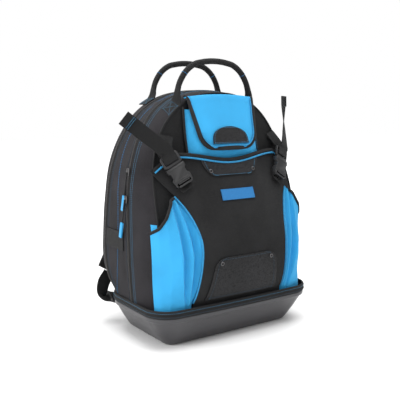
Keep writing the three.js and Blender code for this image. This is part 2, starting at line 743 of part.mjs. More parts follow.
function upperPatch() {
  const top = (x) => pouchTop(x) - POUCH_BINDING_HEIGHT - PIPING - CLEARANCE * 3;
  const low = POUCH_TOP - UPPER_PATCH_HEIGHT;
  const height = top(0) - low;
  const place = (u, v) => {
    const rise = v ** 1.5;
    const width = roundedWidth(rise, height, UPPER_PATCH_CORNER, UPPER_PATCH_FOOT_HALF, UPPER_PATCH_TOP_HALF);
    const x = width * (2 * u - 1);
    return pouchPoint(x, low + (top(x) - low) * rise);
  };
  return sheet(8, 5, raised(place, SEAT + PATCH_THICKNESS), PATCH_THICKNESS);
}

function lowerPatch() {
  const low = BASE + BINDING_HEIGHT * 1.6;
  const height = LOWER_PATCH_TOP - low;
  const place = (u, v) => {
    const rise = 1 - (1 - v) ** 1.6;
    const drop = 1 - rise;
    const width = roundedWidth(drop, height, LOWER_PATCH_CORNER, LOWER_PATCH_TOP_HALF, LOWER_PATCH_FOOT_HALF);
    return pouchPoint(width * (2 * u - 1), low + height * rise);
  };
  return sheet(8, 8, raised(place, SEAT + PATCH_THICKNESS), PATCH_THICKNESS);
}

function label() {
  const low = LABEL_CENTRE_HEIGHT - LABEL_HEIGHT / 2;
  const place = (u, v) => pouchPoint((u - 0.5) * LABEL_WIDTH, low + LABEL_HEIGHT * v);
  return sheet(4, 1, raised(place, SEAT + PATCH_THICKNESS), PATCH_THICKNESS);
}

// A small turned ring set on a patch of the pouch wall
function eyelet() {
  const half = EYELET_THICKNESS / 2;
  const profile = [
    [EYELET_HOLE, -half], [EYELET_RADIUS, -half], [EYELET_RADIUS * 0.85, half], [EYELET_HOLE, half * 0.6],
    [EYELET_HOLE, -half],
  ];
  const points = profile.map(([radius, height]) => new THREE.Vector2(radius, height));
  const geometry = closed(new THREE.LatheGeometry(points, 12));
  geometry.rotateX(Math.PI);
  return geometry;
}

function setOnPouch(mesh, x, z) {
  const step = 1;
  const base = pouchPoint(x, z);
  const across = pouchPoint(x + step, z).sub(base);
  const up = pouchPoint(x, z + step).sub(base);
  const normal = across.cross(up).normalize();
  mesh.quaternion.setFromUnitVectors(new THREE.Vector3(0, -1, 0), normal);
  const lift = SEAT * 2 + PATCH_THICKNESS + EYELET_THICKNESS / 2;
  mesh.position.copy(base).addScaledVector(normal, lift);
}

// Black binding that lies over the pouch wall's top edge, and the blue piping below it
function pouchBinding() {
  const place = (u, v) => {
    const x = POUCH_HALF_WIDTH * 0.97 * (2 * u - 1);
    const z = pouchTop(x) - POUCH_BINDING_HEIGHT * (1 - v);
    return pouchPoint(x, z);
  };
  return sheet(16, 1, raised(place, SEAT + PATCH_THICKNESS), PATCH_THICKNESS);
}

function pouchTopPiping() {
  const points = [];
  const count = 16;
  for (let i = 0; i <= count; i += 1) {
    const x = POUCH_HALF_WIDTH * 0.955 * ((2 * i) / count - 1);
    const z = pouchTop(x) - POUCH_BINDING_HEIGHT - PIPING / 2 - CLEARANCE;
    const point = pouchPoint(x, z);
    point.y -= PIPING / 2 + CLEARANCE * 2;
    points.push(point);
  }
  return tube(points, PIPING, 22);
}

function pouchSidePiping(side) {
  const points = [];
  const count = 10;
  for (let i = 0; i <= count; i += 1) {
    const v = 0.075 + (0.76 * i) / count;
    const edge = pouchPlace(1, v);
    const before = pouchPlace(1, v - 0.02);
    const after = pouchPlace(1, v + 0.02);
    const out = new THREE.Vector2(after.z - before.z, before.x - after.x).normalize();
    const reach = PIPING / 2 + CLEARANCE * 2;
    const x = side * (edge.x + out.x * reach);
    points.push(new THREE.Vector3(x, edge.y - CLEARANCE * 2, edge.z + out.y * reach));
  }
  return tube(points, PIPING, 18);
}

// Blue flap with rounded free corners
function flapPlace(u, v) {
  const rise = v ** 1.35;
  const height = FLAP_TOP - FLAP_BOTTOM;
  const z = FLAP_BOTTOM + height * readTable(FLAP_SECTIONS, 'rise', 'height', rise);
  const across = 2 * u - 1;
  const x = roundedWidth(rise, height, FLAP_CORNER, FLAP_FOOT_HALF_WIDTH, FLAP_HALF_WIDTH) * across;
  const depth = DEPTH_HALF * readTable(FLAP_SECTIONS, 'rise', 'depth', rise);
  const roll = 5 * across ** 4;
  const crown = FLAP_CROWN * (1 - across * across) * rise * rise;
  return new THREE.Vector3(x, -depth + roll, z + crown);
}

function flap() {
  return sheet(8, 11, flapPlace, CLOTH);
}

// Black edge round the flap's free sides
function flapBinding() {
  const points = [];
  const rows = 9;
  const inset = 0.985;
  const at = (u, v) => {
    const point = flapPlace(u, v);
    const centre = new THREE.Vector3(0, point.y, FLAP_BOTTOM + (FLAP_TOP - FLAP_BOTTOM) * 0.6);
    const out = point.clone().sub(centre).setY(0).normalize();
    return point.addScaledVector(out, PIPING * 0.6 + CLEARANCE * 2).add(new THREE.Vector3(0, CLOTH / 2, 0));
  };
  for (let i = rows; i >= 1; i -= 1) points.push(at(0, (inset * i) / rows));
  for (let i = 0; i <= 4; i += 1) points.push(at(i / 4, 0));
  for (let i = 1; i <= rows; i += 1) points.push(at(1, (inset * i) / rows));
  return tube(points, PIPING * 1.2, 30);
}

function flapPatch() {
  const height = FLAP_TOP - FLAP_BOTTOM;
  const start = (FLAP_PATCH_BOTTOM - FLAP_BOTTOM) / height;
  const place = (u, v) => {
    const rise = v ** 0.6;
    const across = 2 * u - 1;
    const halfWidth = (FLAP_PATCH_WIDTH / 2) * Math.sqrt(Math.max(1 - (v ** 1.6) ** 2, 0.02));
    const z = FLAP_PATCH_BOTTOM + FLAP_PATCH_HEIGHT * rise * v ** 0.4;
    const share = start + (z - FLAP_PATCH_BOTTOM) / height;
    const depth = DEPTH_HALF * readTable(FLAP_SECTIONS, 'height', 'depth', share);
    return new THREE.Vector3(halfWidth * across, -depth, z);
  };
  return sheet(8, 6, raised(place, SEAT + PATCH_THICKNESS), PATCH_THICKNESS);
}

// Blue pocket under the flap: two side walls and a front wall, drawn together at the foot
function topPocket() {
  const path = [
    [TOP_POCKET_REAR_HALF, 0],
    [(TOP_POCKET_REAR_HALF + TOP_POCKET_FRONT_HALF) / 2, 0.62],
    [TOP_POCKET_FRONT_HALF, 0.97],
    [TOP_POCKET_FRONT_HALF * 0.5, 1],
    [0, 1],
  ];
  const line = [...path.map(([x, out]) => [-x, out]), ...path.slice(0, -1).reverse()];
  const place = (u, v) => {
    const [x, out] = line[Math.round(u * (line.length - 1))];
    const z = TOP_POCKET_BOTTOM + (TOP_POCKET_TOP - TOP_POCKET_BOTTOM) * v;
    const rear = frontWall(x, z) - SEAT * 3 - CLOTH;
    const front = -DEPTH_HALF * readTable(TOP_POCKET_SECTIONS, 'rise', 'depth', v);
    return new THREE.Vector3(x, Math.min(rear + (front - rear) * out, rear), z);
  };
  return sheet(line.length - 1, 6, place, CLOTH);
}

// One side pocket, pleated between the side gusset and the pouch wall
function pocketPlace(u, v) {
  const fold = POCKET_FOLDS[Math.round(u * (POCKET_FOLDS.length - 1))];
  const mouth = POCKET_REAR_TOP + (POCKET_FRONT_TOP - POCKET_REAR_TOP) * fold.mouth;
  const free = BASE + BINDING_HEIGHT + CLEARANCE * 3;
  const firstRow = 1 / POCKET_ROWS;
  const rise = Math.max((v - firstRow) / (1 - firstRow), 0);
  const z = v < firstRow ? BASE + (free - BASE) * (v / firstRow) : free + (mouth - free) * rise;
  const low = Math.sin(Math.min(rise / 0.5, 1) * Math.PI / 2);
  const high = Math.max((rise - 0.4) / 0.6, 0) ** 2;
  const bend = (foot, mid, top) => foot + (mid - foot) * low + (top - mid) * high;
  const x = BODY_HALF * bend(fold.footX, fold.midX, fold.topX);
  const y = -DEPTH_HALF * bend(fold.footY, fold.midY, fold.topY);
  return new THREE.Vector3(x, y, z);
}

function sidePocket(side) {
  const columns = POCKET_FOLDS.length - 1;
  const place = onSide(side, (u, v) => pocketPlace(1 - u, v));
  return sheet(columns, POCKET_ROWS, place, CLOTH * 0.75);
}

function pocketBinding(side) {
  const points = [];
  const columns = POCKET_FOLDS.length - 1;
  for (let i = 0; i <= columns; i += 1) {
    const point = pocketPlace(i / columns, 1);
    points.push(new THREE.Vector3(side * point.x, point.y, point.z + PIPING / 2 + CLEARANCE * 7));
  }
  points.pop();
  return tube(points, PIPING, 16);
}

// Flat inner pocket that shows above the side pocket's rear corner
function innerPocket(side) {
  const place = (u, v) => {
    const top = POCKET_REAR_TOP + INNER_POCKET_RISE;
    const z = top - 60 + 60 * v;
    const rear = lane('front', z) + 12;
    const y = rear - INNER_POCKET_DEPTH * (1 - u);
    const draw = gussetDraw(y, z);
    const x = bodyHalfWidth(z) - FRONT_INSET * draw + CLEARANCE + CLOTH / 2;
    return new THREE.Vector3(x, y, z);
  };
  return sheet(3, 3, onSide(side, place), CLOTH / 2);
}

// Frame of a strap fitting: its middle, the way it runs and the way its face looks, on the left side
function fittingFrame(middle, along, face) {
  const across = new THREE.Vector3().crossVectors(along, face).normalize();
  const out = new THREE.Vector3().crossVectors(across, along).normalize();
  return { middle, along: along.clone().normalize(), across, out };
}

const BUCKLE = fittingFrame(
  new THREE.Vector3(-POUCH_HALF_WIDTH * 0.77, -DEPTH_HALF * 0.75, POUCH_TOP - 9),
  new THREE.Vector3(-0.4, 0.34, 0.85),
  new THREE.Vector3(-0.3, -0.92, 0.23),
);

function mirrored(vector, side) {
  return new THREE.Vector3(-side * vector.x, vector.y, vector.z);
}

// Point in a fitting's own frame, on the given side of the bag
function inFrame(frame, side, across, out, along) {
  const point = frame.middle.clone()
    .addScaledVector(frame.across, across)
    .addScaledVector(frame.out, out)
    .addScaledVector(frame.along, along);
  return mirrored(point, side);
}

// Extrudes an outline drawn in a frame's across and along axes to a thickness about its middle
function fittingPlate(frame, side, outline, holes, thickness) {
  const shape = new THREE.Shape(outline.map(([x, y]) => new THREE.Vector2(x, y)));
  holes.forEach(([x0, y0, x1, y1]) => {
    const corners = [[x0, y0], [x0, y1], [x1, y1], [x1, y0]];
    shape.holes.push(new THREE.Path(corners.map(([x, y]) => new THREE.Vector2(x, y))));
  });
  const geometry = new THREE.ExtrudeGeometry(shape, { depth: thickness, bevelEnabled: false });
  const points = geometry.getAttribute('position');
  for (let i = 0; i < points.count; i += 1) {
    const spot = inFrame(frame, side, points.getX(i), points.getZ(i) - thickness / 2, points.getY(i));
    points.setXYZ(i, spot.x, spot.y, spot.z);
  }
  return closed(geometry);
}

// Two-slot ladder plate with its lower edge at the given place along the frame
function ladderPlate(frame, side, bottom) {
  const half = BUCKLE_WIDTH / 2;
  const top = bottom + LADDER_LENGTH;
  const outline = [
    [-half, bottom + 3], [-half + 5, bottom], [half - 5, bottom], [half, bottom + 3],
    [half, top - 3], [half - 3, top], [-half + 3, top], [-half, top - 3],
  ];
  const slotHalf = WEBBING_WIDTH / 2 + 0.5;
  const slots = [
    [-slotHalf, bottom + 5.5, slotHalf, bottom + 9.5],
    [-slotHalf, bottom + 13.5, slotHalf, bottom + 17.5],
  ];
  return fittingPlate(frame, side, outline, slots, PLUG_THICKNESS);
}

function buckleSocket(side) {
  const half = BUCKLE_WIDTH / 2;
  const top = -CLEARANCE;
  const bottom = top - SOCKET_LENGTH;
  const outline = [
    [-half, top], [-half, top - 7], [-half + 3.5, top - 10], [-half + 3.5, top - 18], [-half, top - 21],
    [-half + 1, bottom + 4], [-half + 5, bottom], [half - 5, bottom], [half - 1, bottom + 4],
    [half, top - 21], [half - 3.5, top - 18], [half - 3.5, top - 10], [half, top - 7], [half, top],
  ];
  const slotHalf = WEBBING_WIDTH / 2 + 0.5;
  const slot = [-slotHalf, bottom + 3, slotHalf, bottom + 7.5];
  return fittingPlate(BUCKLE, side, outline, [slot], BUCKLE_THICKNESS);
}

// Strap from the front seam down to the ladder, under the plug
function strapAnchor(side) {
  const lift = -(PLUG_THICKNESS / 2 + SEAT);
  const z = BODY_TOP * 0.825;
  const x = bodyHalfWidth(z) - FRONT_INSET - 8;
  const seat = frontWall(x, z) - SEAT * 4 - WEBBING_THICKNESS;
  const top = CLEARANCE + LADDER_LENGTH;
  const points = [
    new THREE.Vector3(side * x, seat, z),
    inFrame(BUCKLE, side, 0, lift - 0.5, top + 6),
    inFrame(BUCKLE, side, 0, lift, top),
    inFrame(BUCKLE, side, 0, lift, top - LADDER_LENGTH * 0.6),
  ];
  const out = mirrored(BUCKLE.out, side);
  return webbing(points, () => out, WEBBING_WIDTH, WEBBING_THICKNESS, 6);
}

// Free tail above the ladder; the left one leans outwards and the right one stands up
function strapTail(side) {
  const lift = PLUG_THICKNESS / 2 + SEAT + WEBBING_THICKNESS;
  const top = CLEARANCE + LADDER_LENGTH;
  const knee = inFrame(BUCKLE, side, 0, lift + 1, top + 5);
  const lean = side < 0 ? new THREE.Vector3(-0.77, 0.13, 0.6) : new THREE.Vector3(-0.06, -0.02, 1);
  lean.normalize();
  const points = [
    inFrame(BUCKLE, side, 0, lift, top - LADDER_LENGTH * 0.7),
    inFrame(BUCKLE, side, 0, lift, top),
    knee,
    knee.clone().addScaledVector(lean, TAIL_LENGTH * 0.4),
    knee.clone().addScaledVector(lean, TAIL_LENGTH * 0.78),
  ];
  const first = mirrored(BUCKLE.out, side);
  const last = side < 0 ? new THREE.Vector3(-0.5, -0.85, 0.1) : new THREE.Vector3(0.9, -0.45, 0);
  const out = (v) => first.clone().lerp(last, Math.min(Math.max((v - 0.45) * 2.2, 0), 1)).normalize();
  return webbing(points, out, WEBBING_WIDTH, WEBBING_THICKNESS, 9);
}

// Short loop that ties the socket's end to the pouch wall
function clipWeb(side) {
  const end = -CLEARANCE - SOCKET_LENGTH;
  const lift = -(BUCKLE_THICKNESS / 2 + CLEARANCE);
  const foot = inFrame(BUCKLE, side, 0, lift, end - 6);
  foot.y = pouchWall(foot.x, foot.z) - SEAT * 12 - WEBBING_THICKNESS;
  const points = [
    inFrame(BUCKLE, side, 0, lift, end + 12),
    inFrame(BUCKLE, side, 0, lift, end - 1),
    foot,
  ];
  const out = mirrored(BUCKLE.out, side);
  const atFoot = new THREE.Vector3(0, -1, 0);
  const facing = (v) => out.clone().lerp(atFoot, v * 0.44).normalize();
  return webbing(points, facing, WEBBING_WIDTH - SEAT * 4, WEBBING_THICKNESS, 4);
}

function zipSlider(height) {
  const centre = new THREE.Vector3(-bodyHalfWidth(height), lane('frontZip', height), height);
  const wide = new THREE.Vector2(SLIDER_SIZE / 2, SLIDER_SIZE * 0.75);
  const outline = [
    [-wide.x, wide.y * 0.5], [-wide.x * 0.6, wide.y], [wide.x * 0.6, wide.y], [wide.x, wide.y * 0.5],
    [wide.x * 0.7, -wide.y], [-wide.x * 0.7, -wide.y],
  ];
  const shape = new THREE.Shape(outline.map(([x, y]) => new THREE.Vector2(x, y)));
  const geometry = closed(new THREE.ExtrudeGeometry(shape, { depth: SLIDER_DEPTH, bevelEnabled: false }));
  geometry.rotateX(Math.PI / 2);
  geometry.rotateZ(-Math.PI / 2);
  geometry.translate(centre.x - ZIP_RAISE - SEAT, centre.y, centre.z);
  return geometry;
}

// Link and blue tab that hang from a slider, leaning back a little
function pullParts(height) {
  const lean = new THREE.Vector3(-0.02, 0.22, -0.97).normalize();
  const x = -bodyHalfWidth(height) - ZIP_RAISE - SEAT - CLEARANCE - SLIDER_DEPTH - LINK_THICKNESS / 2;
  const top = new THREE.Vector3(x, lane('frontZip', height), height);
  const place = (from, to, width, thickness) => {
    const across = new THREE.Vector3(0, -lean.z, lean.y);
    const start = top.clone().addScaledVector(lean, from);
    const end = top.clone().addScaledVector(lean, to);
    const corner = (u, v) => start.clone().lerp(end, v).addScaledVector(across, (u - 0.5) * width);
    return sheet(1, 1, (u, v) => corner(u, v).add(new THREE.Vector3(-thickness / 2, 0, 0)), thickness);
  };
  const link = place(0, LINK_LENGTH, LINK_WIDTH, LINK_THICKNESS);
  const tab = place(LINK_LENGTH + CLEARANCE, LINK_LENGTH + CLEARANCE + TAB_LENGTH, TAB_WIDTH, TAB_THICKNESS);
  return { link, tab };
}

// Route of a shoulder strap behind the back, for the right side
function shoulderRoute() {
  const back = (z) => lane('back', z) + CLEARANCE * 2 + STRAP_THICKNESS;
  return STRAP_ROUTE.map(({ height, out, slack }) => {
    const z = BODY_TOP * height;
    return new THREE.Vector3(out, back(z) + slack, z);
  });
}

function shoulderStrap(side) {
  const curve = new THREE.CatmullRomCurve3(shoulderRoute());
  const steps = 12;
  const sides = 8;
  const rings = [];
  for (let i = 0; i <= steps; i += 1) {
    const share = i / steps;
    const centre = curve.getPoint(share);
    const along = curve.getTangent(share);
    const across = new THREE.Vector3(1, 0, 0).addScaledVector(along, -along.x).normalize();
    const out = new THREE.Vector3().crossVectors(along, across).normalize();
    const narrow = share > 0.9 ? 0.75 : 1;
    const ring = [];
    for (let k = 0; k < sides; k += 1) {
      const angle = (2 * Math.PI * (k + 0.5)) / sides;
      const width = Math.sign(Math.cos(angle)) * Math.abs(Math.cos(angle)) ** 0.5 * STRAP_WIDTH * narrow;
      const thick = Math.sign(Math.sin(angle)) * Math.abs(Math.sin(angle)) ** 0.8 * STRAP_THICKNESS;
      const point = centre.clone().addScaledVector(across, width / 2).addScaledVector(out, thick / 2);
      ring.push(new THREE.Vector3(point.x * side, point.y, point.z));
    }
    rings.push(ring);
  }
  return solidFromRings(rings, 'fan');
}

// Ladder below the body's back corner that joins the shoulder strap's webbing to its tab
const ADJUSTER = fittingFrame(
  new THREE.Vector3(-FOOT_WIDTH / 2, RIM_BACK + 10, TRAY_HEIGHT * 0.68),
  new THREE.Vector3(-0.9, 0, 0.44),
  new THREE.Vector3(-0.4, 0.3, -0.82),
);

// Facing that turns from one direction to another between two shares of a strap's length
function turning(first, last, from, to) {
  return (v) => first.clone().lerp(last, THREE.MathUtils.smoothstep(v, from, to)).normalize();
}

// Webbing from the shoulder strap's end down to the ladder
function lowerWeb(side) {
  const route = shoulderRoute();
  const end = mirrored(route[route.length - 1], -side);
  const lift = PLUG_THICKNESS / 2 + SEAT + WEBBING_THICKNESS;
  const points = [
    new THREE.Vector3(end.x, end.y - 1, end.z - STRAP_THICKNESS * 0.35),
    new THREE.Vector3(end.x + side * 15, end.y - 6, end.z * 0.76),
    inFrame(ADJUSTER, side, 0, lift + SEAT * 3, LADDER_LENGTH + 11),
    inFrame(ADJUSTER, side, 0, lift + SEAT, LADDER_LENGTH - 2),
    inFrame(ADJUSTER, side, 0, lift, LADDER_LENGTH * 0.4),
  ];
  const facing = turning(new THREE.Vector3(0, 1, 0), mirrored(ADJUSTER.out, side), 0, 0.4);
  return webbing(points, facing, WEBBING_WIDTH, WEBBING_THICKNESS, 11);
}

// Tab that ties the ladder to the ring at the back corner
function lowerTab(side) {
  const lift = -(PLUG_THICKNESS / 2 + SEAT);
  const seat = RIM_BACK + BINDING_LIP + SEAT + WEBBING_THICKNESS;
  const points = [
    inFrame(ADJUSTER, side, 0, lift, LADDER_LENGTH * 0.6),
    inFrame(ADJUSTER, side, 0, lift, 2),
    inFrame(ADJUSTER, side, 0, lift, -8),
    new THREE.Vector3(side * 112, seat + 1, TRAY_HEIGHT * 0.8),
    new THREE.Vector3(side * 108, seat, BASE + BINDING_HEIGHT * 0.8),
  ];
  const facing = turning(mirrored(ADJUSTER.out, side), new THREE.Vector3(side * 0.1, 1, 0), 0.45, 1);
  return webbing(points, facing, WEBBING_WIDTH, WEBBING_THICKNESS, 8);
}

const parts = new THREE.Group();

function addPart(name, geometry, finish) {
  const mesh = new THREE.Mesh(geometry, new THREE.MeshStandardMaterial(finish));
  mesh.name = name;
  parts.add(mesh);
  return mesh;
}

addPart('base_tray', baseTray(), FINISH.tray);
addPart('rim_binding', rimBinding(), FINISH.webbing);
addPart('back_cover', backCover(), FINISH.cloth);
addPart('zip_back', zipBand('backZip'), FINISH.zip);
addPart('middle_gusset', middleGusset(), FINISH.cloth);
addPart('zip_front', zipBand('frontZip'), FINISH.zip);
addPart('front_shell', frontShell(), FINISH.cloth);
addPart('back_pad', backPad(), FINISH.cloth);
addPart('handle_front', handle(FRONT_HANDLE_SPAN, FRONT_HANDLE_DEPTH), FINISH.webbing);
addPart('handle_back', handle(BACK_HANDLE_SPAN, BACK_HANDLE_DEPTH), FINISH.webbing);
addPart('top_pocket', topPocket(), FINISH.blue);
addPart('flap', flap(), FINISH.blue);
addPart('flap_binding', flapBinding(), FINISH.webbing);
addPart('flap_patch', flapPatch(), FINISH.patch);
addPart('front_panel', frontPanel(), FINISH.cloth);
addPart('panel_binding', pouchBinding(), FINISH.webbing);
addPart('panel_piping_top', pouchTopPiping(), FINISH.blue);
addPart('upper_patch', upperPatch(), FINISH.patch);
addPart('lower_patch', lowerPatch(), FINISH.patch);
addPart('label', label(), FINISH.blue);

const eyelets = [
  [-UPPER_EYELET_PLACE, UPPER_EYELET_HEIGHT],
  [UPPER_EYELET_PLACE, UPPER_EYELET_HEIGHT],
  [-LOWER_EYELET_PLACE, LOWER_EYELET_HEIGHT],
  [LOWER_EYELET_PLACE, LOWER_EYELET_HEIGHT],
];
eyelets.forEach(([x, z], i) => setOnPouch(addPart(`eyelet_${i + 1}`, eyelet(), FINISH.metal), x, z));

Object.entries(SLIDER_HEIGHTS).forEach(([name, height]) => {
  addPart(`zip_slider_${name}`, zipSlider(height), FINISH.metal);
  const { link, tab } = pullParts(height);
  addPart(`pull_link_${name}`, link, FINISH.metal);
  addPart(`pull_tab_${name}`, tab, FINISH.blue);
});

Object.entries({ left: -1, right: 1 }).forEach(([name, side]) => {
  addPart(`gusset_band_${name}`, gussetBand(side), FINISH.webbing);
  addPart(`panel_piping_${name}`, pouchSidePiping(side), FINISH.blue);
  addPart(`side_pocket_${name}`, sidePocket(side), FINISH.blue);
  addPart(`pocket_binding_${name}`, pocketBinding(side), FINISH.webbing);
  addPart(`inner_pocket_${name}`, innerPocket(side), FINISH.blue);
  addPart(`buckle_plug_${name}`, ladderPlate(BUCKLE, side, CLEARANCE), FINISH.plastic);
  addPart(`buckle_socket_${name}`, buckleSocket(side), FINISH.plastic);
  addPart(`strap_anchor_${name}`, strapAnchor(side), FINISH.webbing);
  addPart(`strap_tail_${name}`, strapTail(side), FINISH.webbing);
  addPart(`clip_web_${name}`, clipWeb(side), FINISH.webbing);
  addPart(`shoulder_strap_${name}`, shoulderStrap(side), FINISH.cloth);
  addPart(`lower_web_${name}`, lowerWeb(side), FINISH.webbing);
  addPart(`strap_adjuster_${name}`, ladderPlate(ADJUSTER, side, 0), FINISH.plastic);
  addPart(`lower_tab_${name}`, lowerTab(side), FINISH.webbing);
});

export default parts;
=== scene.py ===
"""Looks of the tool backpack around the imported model: cloth, thread, webbing, zips and moulded plastic."""

import logging
import math
from dataclasses import dataclass, field
from enum import Enum
from typing import Callable, Iterable, Sequence

import bmesh
import bpy
import numpy as np
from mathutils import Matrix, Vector, noise


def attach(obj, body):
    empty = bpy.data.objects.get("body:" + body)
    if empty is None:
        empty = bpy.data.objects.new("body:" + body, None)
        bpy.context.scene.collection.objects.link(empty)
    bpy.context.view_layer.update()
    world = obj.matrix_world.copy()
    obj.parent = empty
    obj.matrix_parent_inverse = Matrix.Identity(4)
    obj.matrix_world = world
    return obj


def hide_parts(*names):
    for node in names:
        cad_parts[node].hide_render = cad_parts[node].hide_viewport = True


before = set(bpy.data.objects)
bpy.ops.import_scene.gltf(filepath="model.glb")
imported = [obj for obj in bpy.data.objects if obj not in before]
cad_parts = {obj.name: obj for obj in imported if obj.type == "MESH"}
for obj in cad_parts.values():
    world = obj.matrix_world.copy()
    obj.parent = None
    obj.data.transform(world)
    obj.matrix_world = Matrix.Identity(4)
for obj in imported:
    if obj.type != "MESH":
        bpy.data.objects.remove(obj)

LOG = logging.getLogger("backpack")
BODY = "root"
MM = 0.001
SIDES = {"left": -1, "right": 1}

Array = np.ndarray
Socket = bpy.types.NodeSocket
Piece = bpy.types.Object
Spot = tuple[float, float, float]
Place = Callable[[Array, Array], Array]
Lane = Callable[[Array], Array]
Turn = Callable[[float], Array]


class Slot(Enum):
    """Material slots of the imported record."""

    CLOTH = "cloth"
    BLUE = "blue"
    WEBBING = "webbing"
    TRAY = "tray"
    PLASTIC = "plastic"
    PATCH = "patch"
    ZIP = "zip"
    METAL = "metal"


# Finishes


class Tree:
    """Short way to add nodes to a node tree and join them."""

    def __init__(self, tree: bpy.types.NodeTree) -> None:
        """Keeps the tree that nodes are added to."""
        self.tree = tree

    def add(self, kind: str, settings: dict | None = None, **inputs: object) -> bpy.types.Node:
        """Adds a node.

        Args:
            kind: Blender's name of the node type.
            settings: attributes to set on the node.
            inputs: values or sockets by input name, with _ for a space.
        Returns:
            The new node.
        """
        node = self.tree.nodes.new(kind)
        for key, value in (settings or {}).items():
            setattr(node, key, value)
        for key, value in inputs.items():
            numbered = key.startswith("in") and key[2:].isdigit()
            self.feed(node.inputs[int(key[2:]) if numbered else key.replace("_", " ")], value)
        return node

    def feed(self, socket: Socket, value: object) -> None:
        """Links a socket, or sets its value."""
        if isinstance(value, Socket):
            self.tree.links.new(value, socket)
        else:
            socket.default_value = value

    def math(self, operation: str, first: object, second: object = 0.0) -> Socket:
        """Adds a Math node and gives its result."""
        return self.add("ShaderNodeMath", {"operation": operation}, in0=first, in1=second).outputs[0]

    def scaled(self, value: object, factor: object, base: float) -> Socket:
        """Multiplies a value by a factor, adds a base and gives the result."""
        node = self.add("ShaderNodeMath", {"operation": "MULTIPLY_ADD"}, in0=value, in1=factor, in2=base)
        return node.outputs[0]

    def place(self, kind: str = "Object") -> Socket:
        """The coordinates of that kind."""
        return self.add("ShaderNodeTexCoord").outputs[kind]

    def noise(self, scale: float, detail: float) -> Socket:
        """Noise on the Object coordinates."""
        return self.add("ShaderNodeTexNoise", Vector=self.place(), Scale=scale, Detail=detail).outputs[0]

    def mix(self, share: object, first: object, second: object) -> Socket:
        """Mixes two colours and gives the result."""
        node = self.add("ShaderNodeMix", {"data_type": "RGBA"})
        self.feed(node.inputs[0], share)
        self.feed(node.inputs[6], first)
        self.feed(node.inputs[7], second)
        return node.outputs[2]

    def ramp(self, value: object, low: float, high: float) -> Socket:
        """Maps a value from low..high to 0..1."""
        node = self.add("ShaderNodeMapRange")
        self.feed(node.inputs[0], value)
        node.inputs[1].default_value = low
        node.inputs[2].default_value = high
        return node.outputs[0]


@dataclass(frozen=True)
class Finish:
    """A finish with its own colour; each kind builds its pattern.

    Args:
        name: name of the material.
        colour: base colour, linear.
        roughness: mean roughness.
        sheen: fibre sheen.
        specular: specular level.
    """

    name: str
    colour: Spot
    roughness: float = 0.85
    sheen: float = 0.2
    specular: float = 0.3

    def tone(self, factor: float) -> tuple[float, ...]:
        """The colour made lighter or darker by a factor, with alpha."""
        return tuple(min(channel * factor, 1.0) for channel in self.colour) + (1.0,)

    def build(self) -> bpy.types.Material:
        """Makes the material with its shader and its pattern.

        Returns:
            The finished material.
        """
        material = bpy.data.materials.new(self.name)
        material.use_nodes = True
        material.node_tree.nodes.clear()
        tree = Tree(material.node_tree)
        shader = tree.add("ShaderNodeBsdfPrincipled")
        shader.inputs["Roughness"].default_value = self.roughness
        shader.inputs["Specular IOR Level"].default_value = self.specular
        if self.sheen:
            shader.inputs["Sheen Weight"].default_value = self.sheen
            shader.inputs["Sheen Roughness"].default_value = 0.5
        output = tree.add("ShaderNodeOutputMaterial")
        tree.tree.links.new(shader.outputs[0], output.inputs[0])
        self.pattern(tree, shader)
        return material

    def pattern(self, tree: Tree, shader: bpy.types.Node) -> None:
        """Builds the pattern of this kind of finish.

        Args:
            tree: tree of the material.
            shader: its shader node.
        """
        raise NotImplementedError

    def bump(
        self, tree: Tree, shader: bpy.types.Node, height: object, strength: float, distance: float
    ) -> None:
        """Joins a height to the shader's normal, with a strength and a distance in metres."""
        node = tree.add("ShaderNodeBump", Strength=strength, Distance=distance, Height=height)
        tree.tree.links.new(node.outputs[0], shader.inputs["Normal"])


@dataclass(frozen=True)
class Weave(Finish):
    """Woven cloth that follows the piece's own UV map, which is in metres.

    Args:
        thread: width of a thread pair in metres.
        relief: bump strength.
        mottle: how far the colour wanders.
        dust: share of paler fibres.
    """

    thread: float = 0.0011
    relief: float = 0.6
    mottle: float = 0.35
    dust: float = 0.25

    def pattern(self, tree: Tree, shader: bpy.types.Node) -> None:
        """Builds crossed threads, broad colour drift, pale fibres and uneven roughness.

        Args:
            tree: tree of the material.
            shader: its shader node.
        """
        split = tree.add("ShaderNodeSeparateXYZ", Vector=tree.place("UV"))
        pace = 2 * math.pi / self.thread
        across = tree.math("SINE", tree.math("MULTIPLY", split.outputs[0], pace))
        along = tree.math("SINE", tree.math("MULTIPLY", split.outputs[1], pace))
        cross = tree.scaled(tree.math("MULTIPLY", across, along), 0.5, 0.5)
        fibre = tree.noise(620.0, 2.0)
        dark = self.tone(1 - self.mottle)
        light = self.tone(1 + self.mottle)
        broad = tree.mix(tree.ramp(tree.noise(14.0, 3.0), 0.35, 0.65), dark, light)
        pale = self.tone(1 + 2.2 * self.dust)
        specks = tree.math("MULTIPLY", tree.ramp(fibre, 0.5, 0.72), self.dust * 1.6)
        colour = tree.mix(specks, broad, pale)
        woven = tree.mix(tree.math("MULTIPLY", cross, 0.35), colour, self.tone(0.55))
        tree.feed(shader.inputs["Base Color"], woven)
        tree.feed(shader.inputs["Roughness"], tree.scaled(fibre, 0.16, self.roughness - 0.08))
        height = tree.math("ADD", cross, tree.math("MULTIPLY", fibre, 0.8))
        self.bump(tree, shader, height, self.relief, 0.0003)


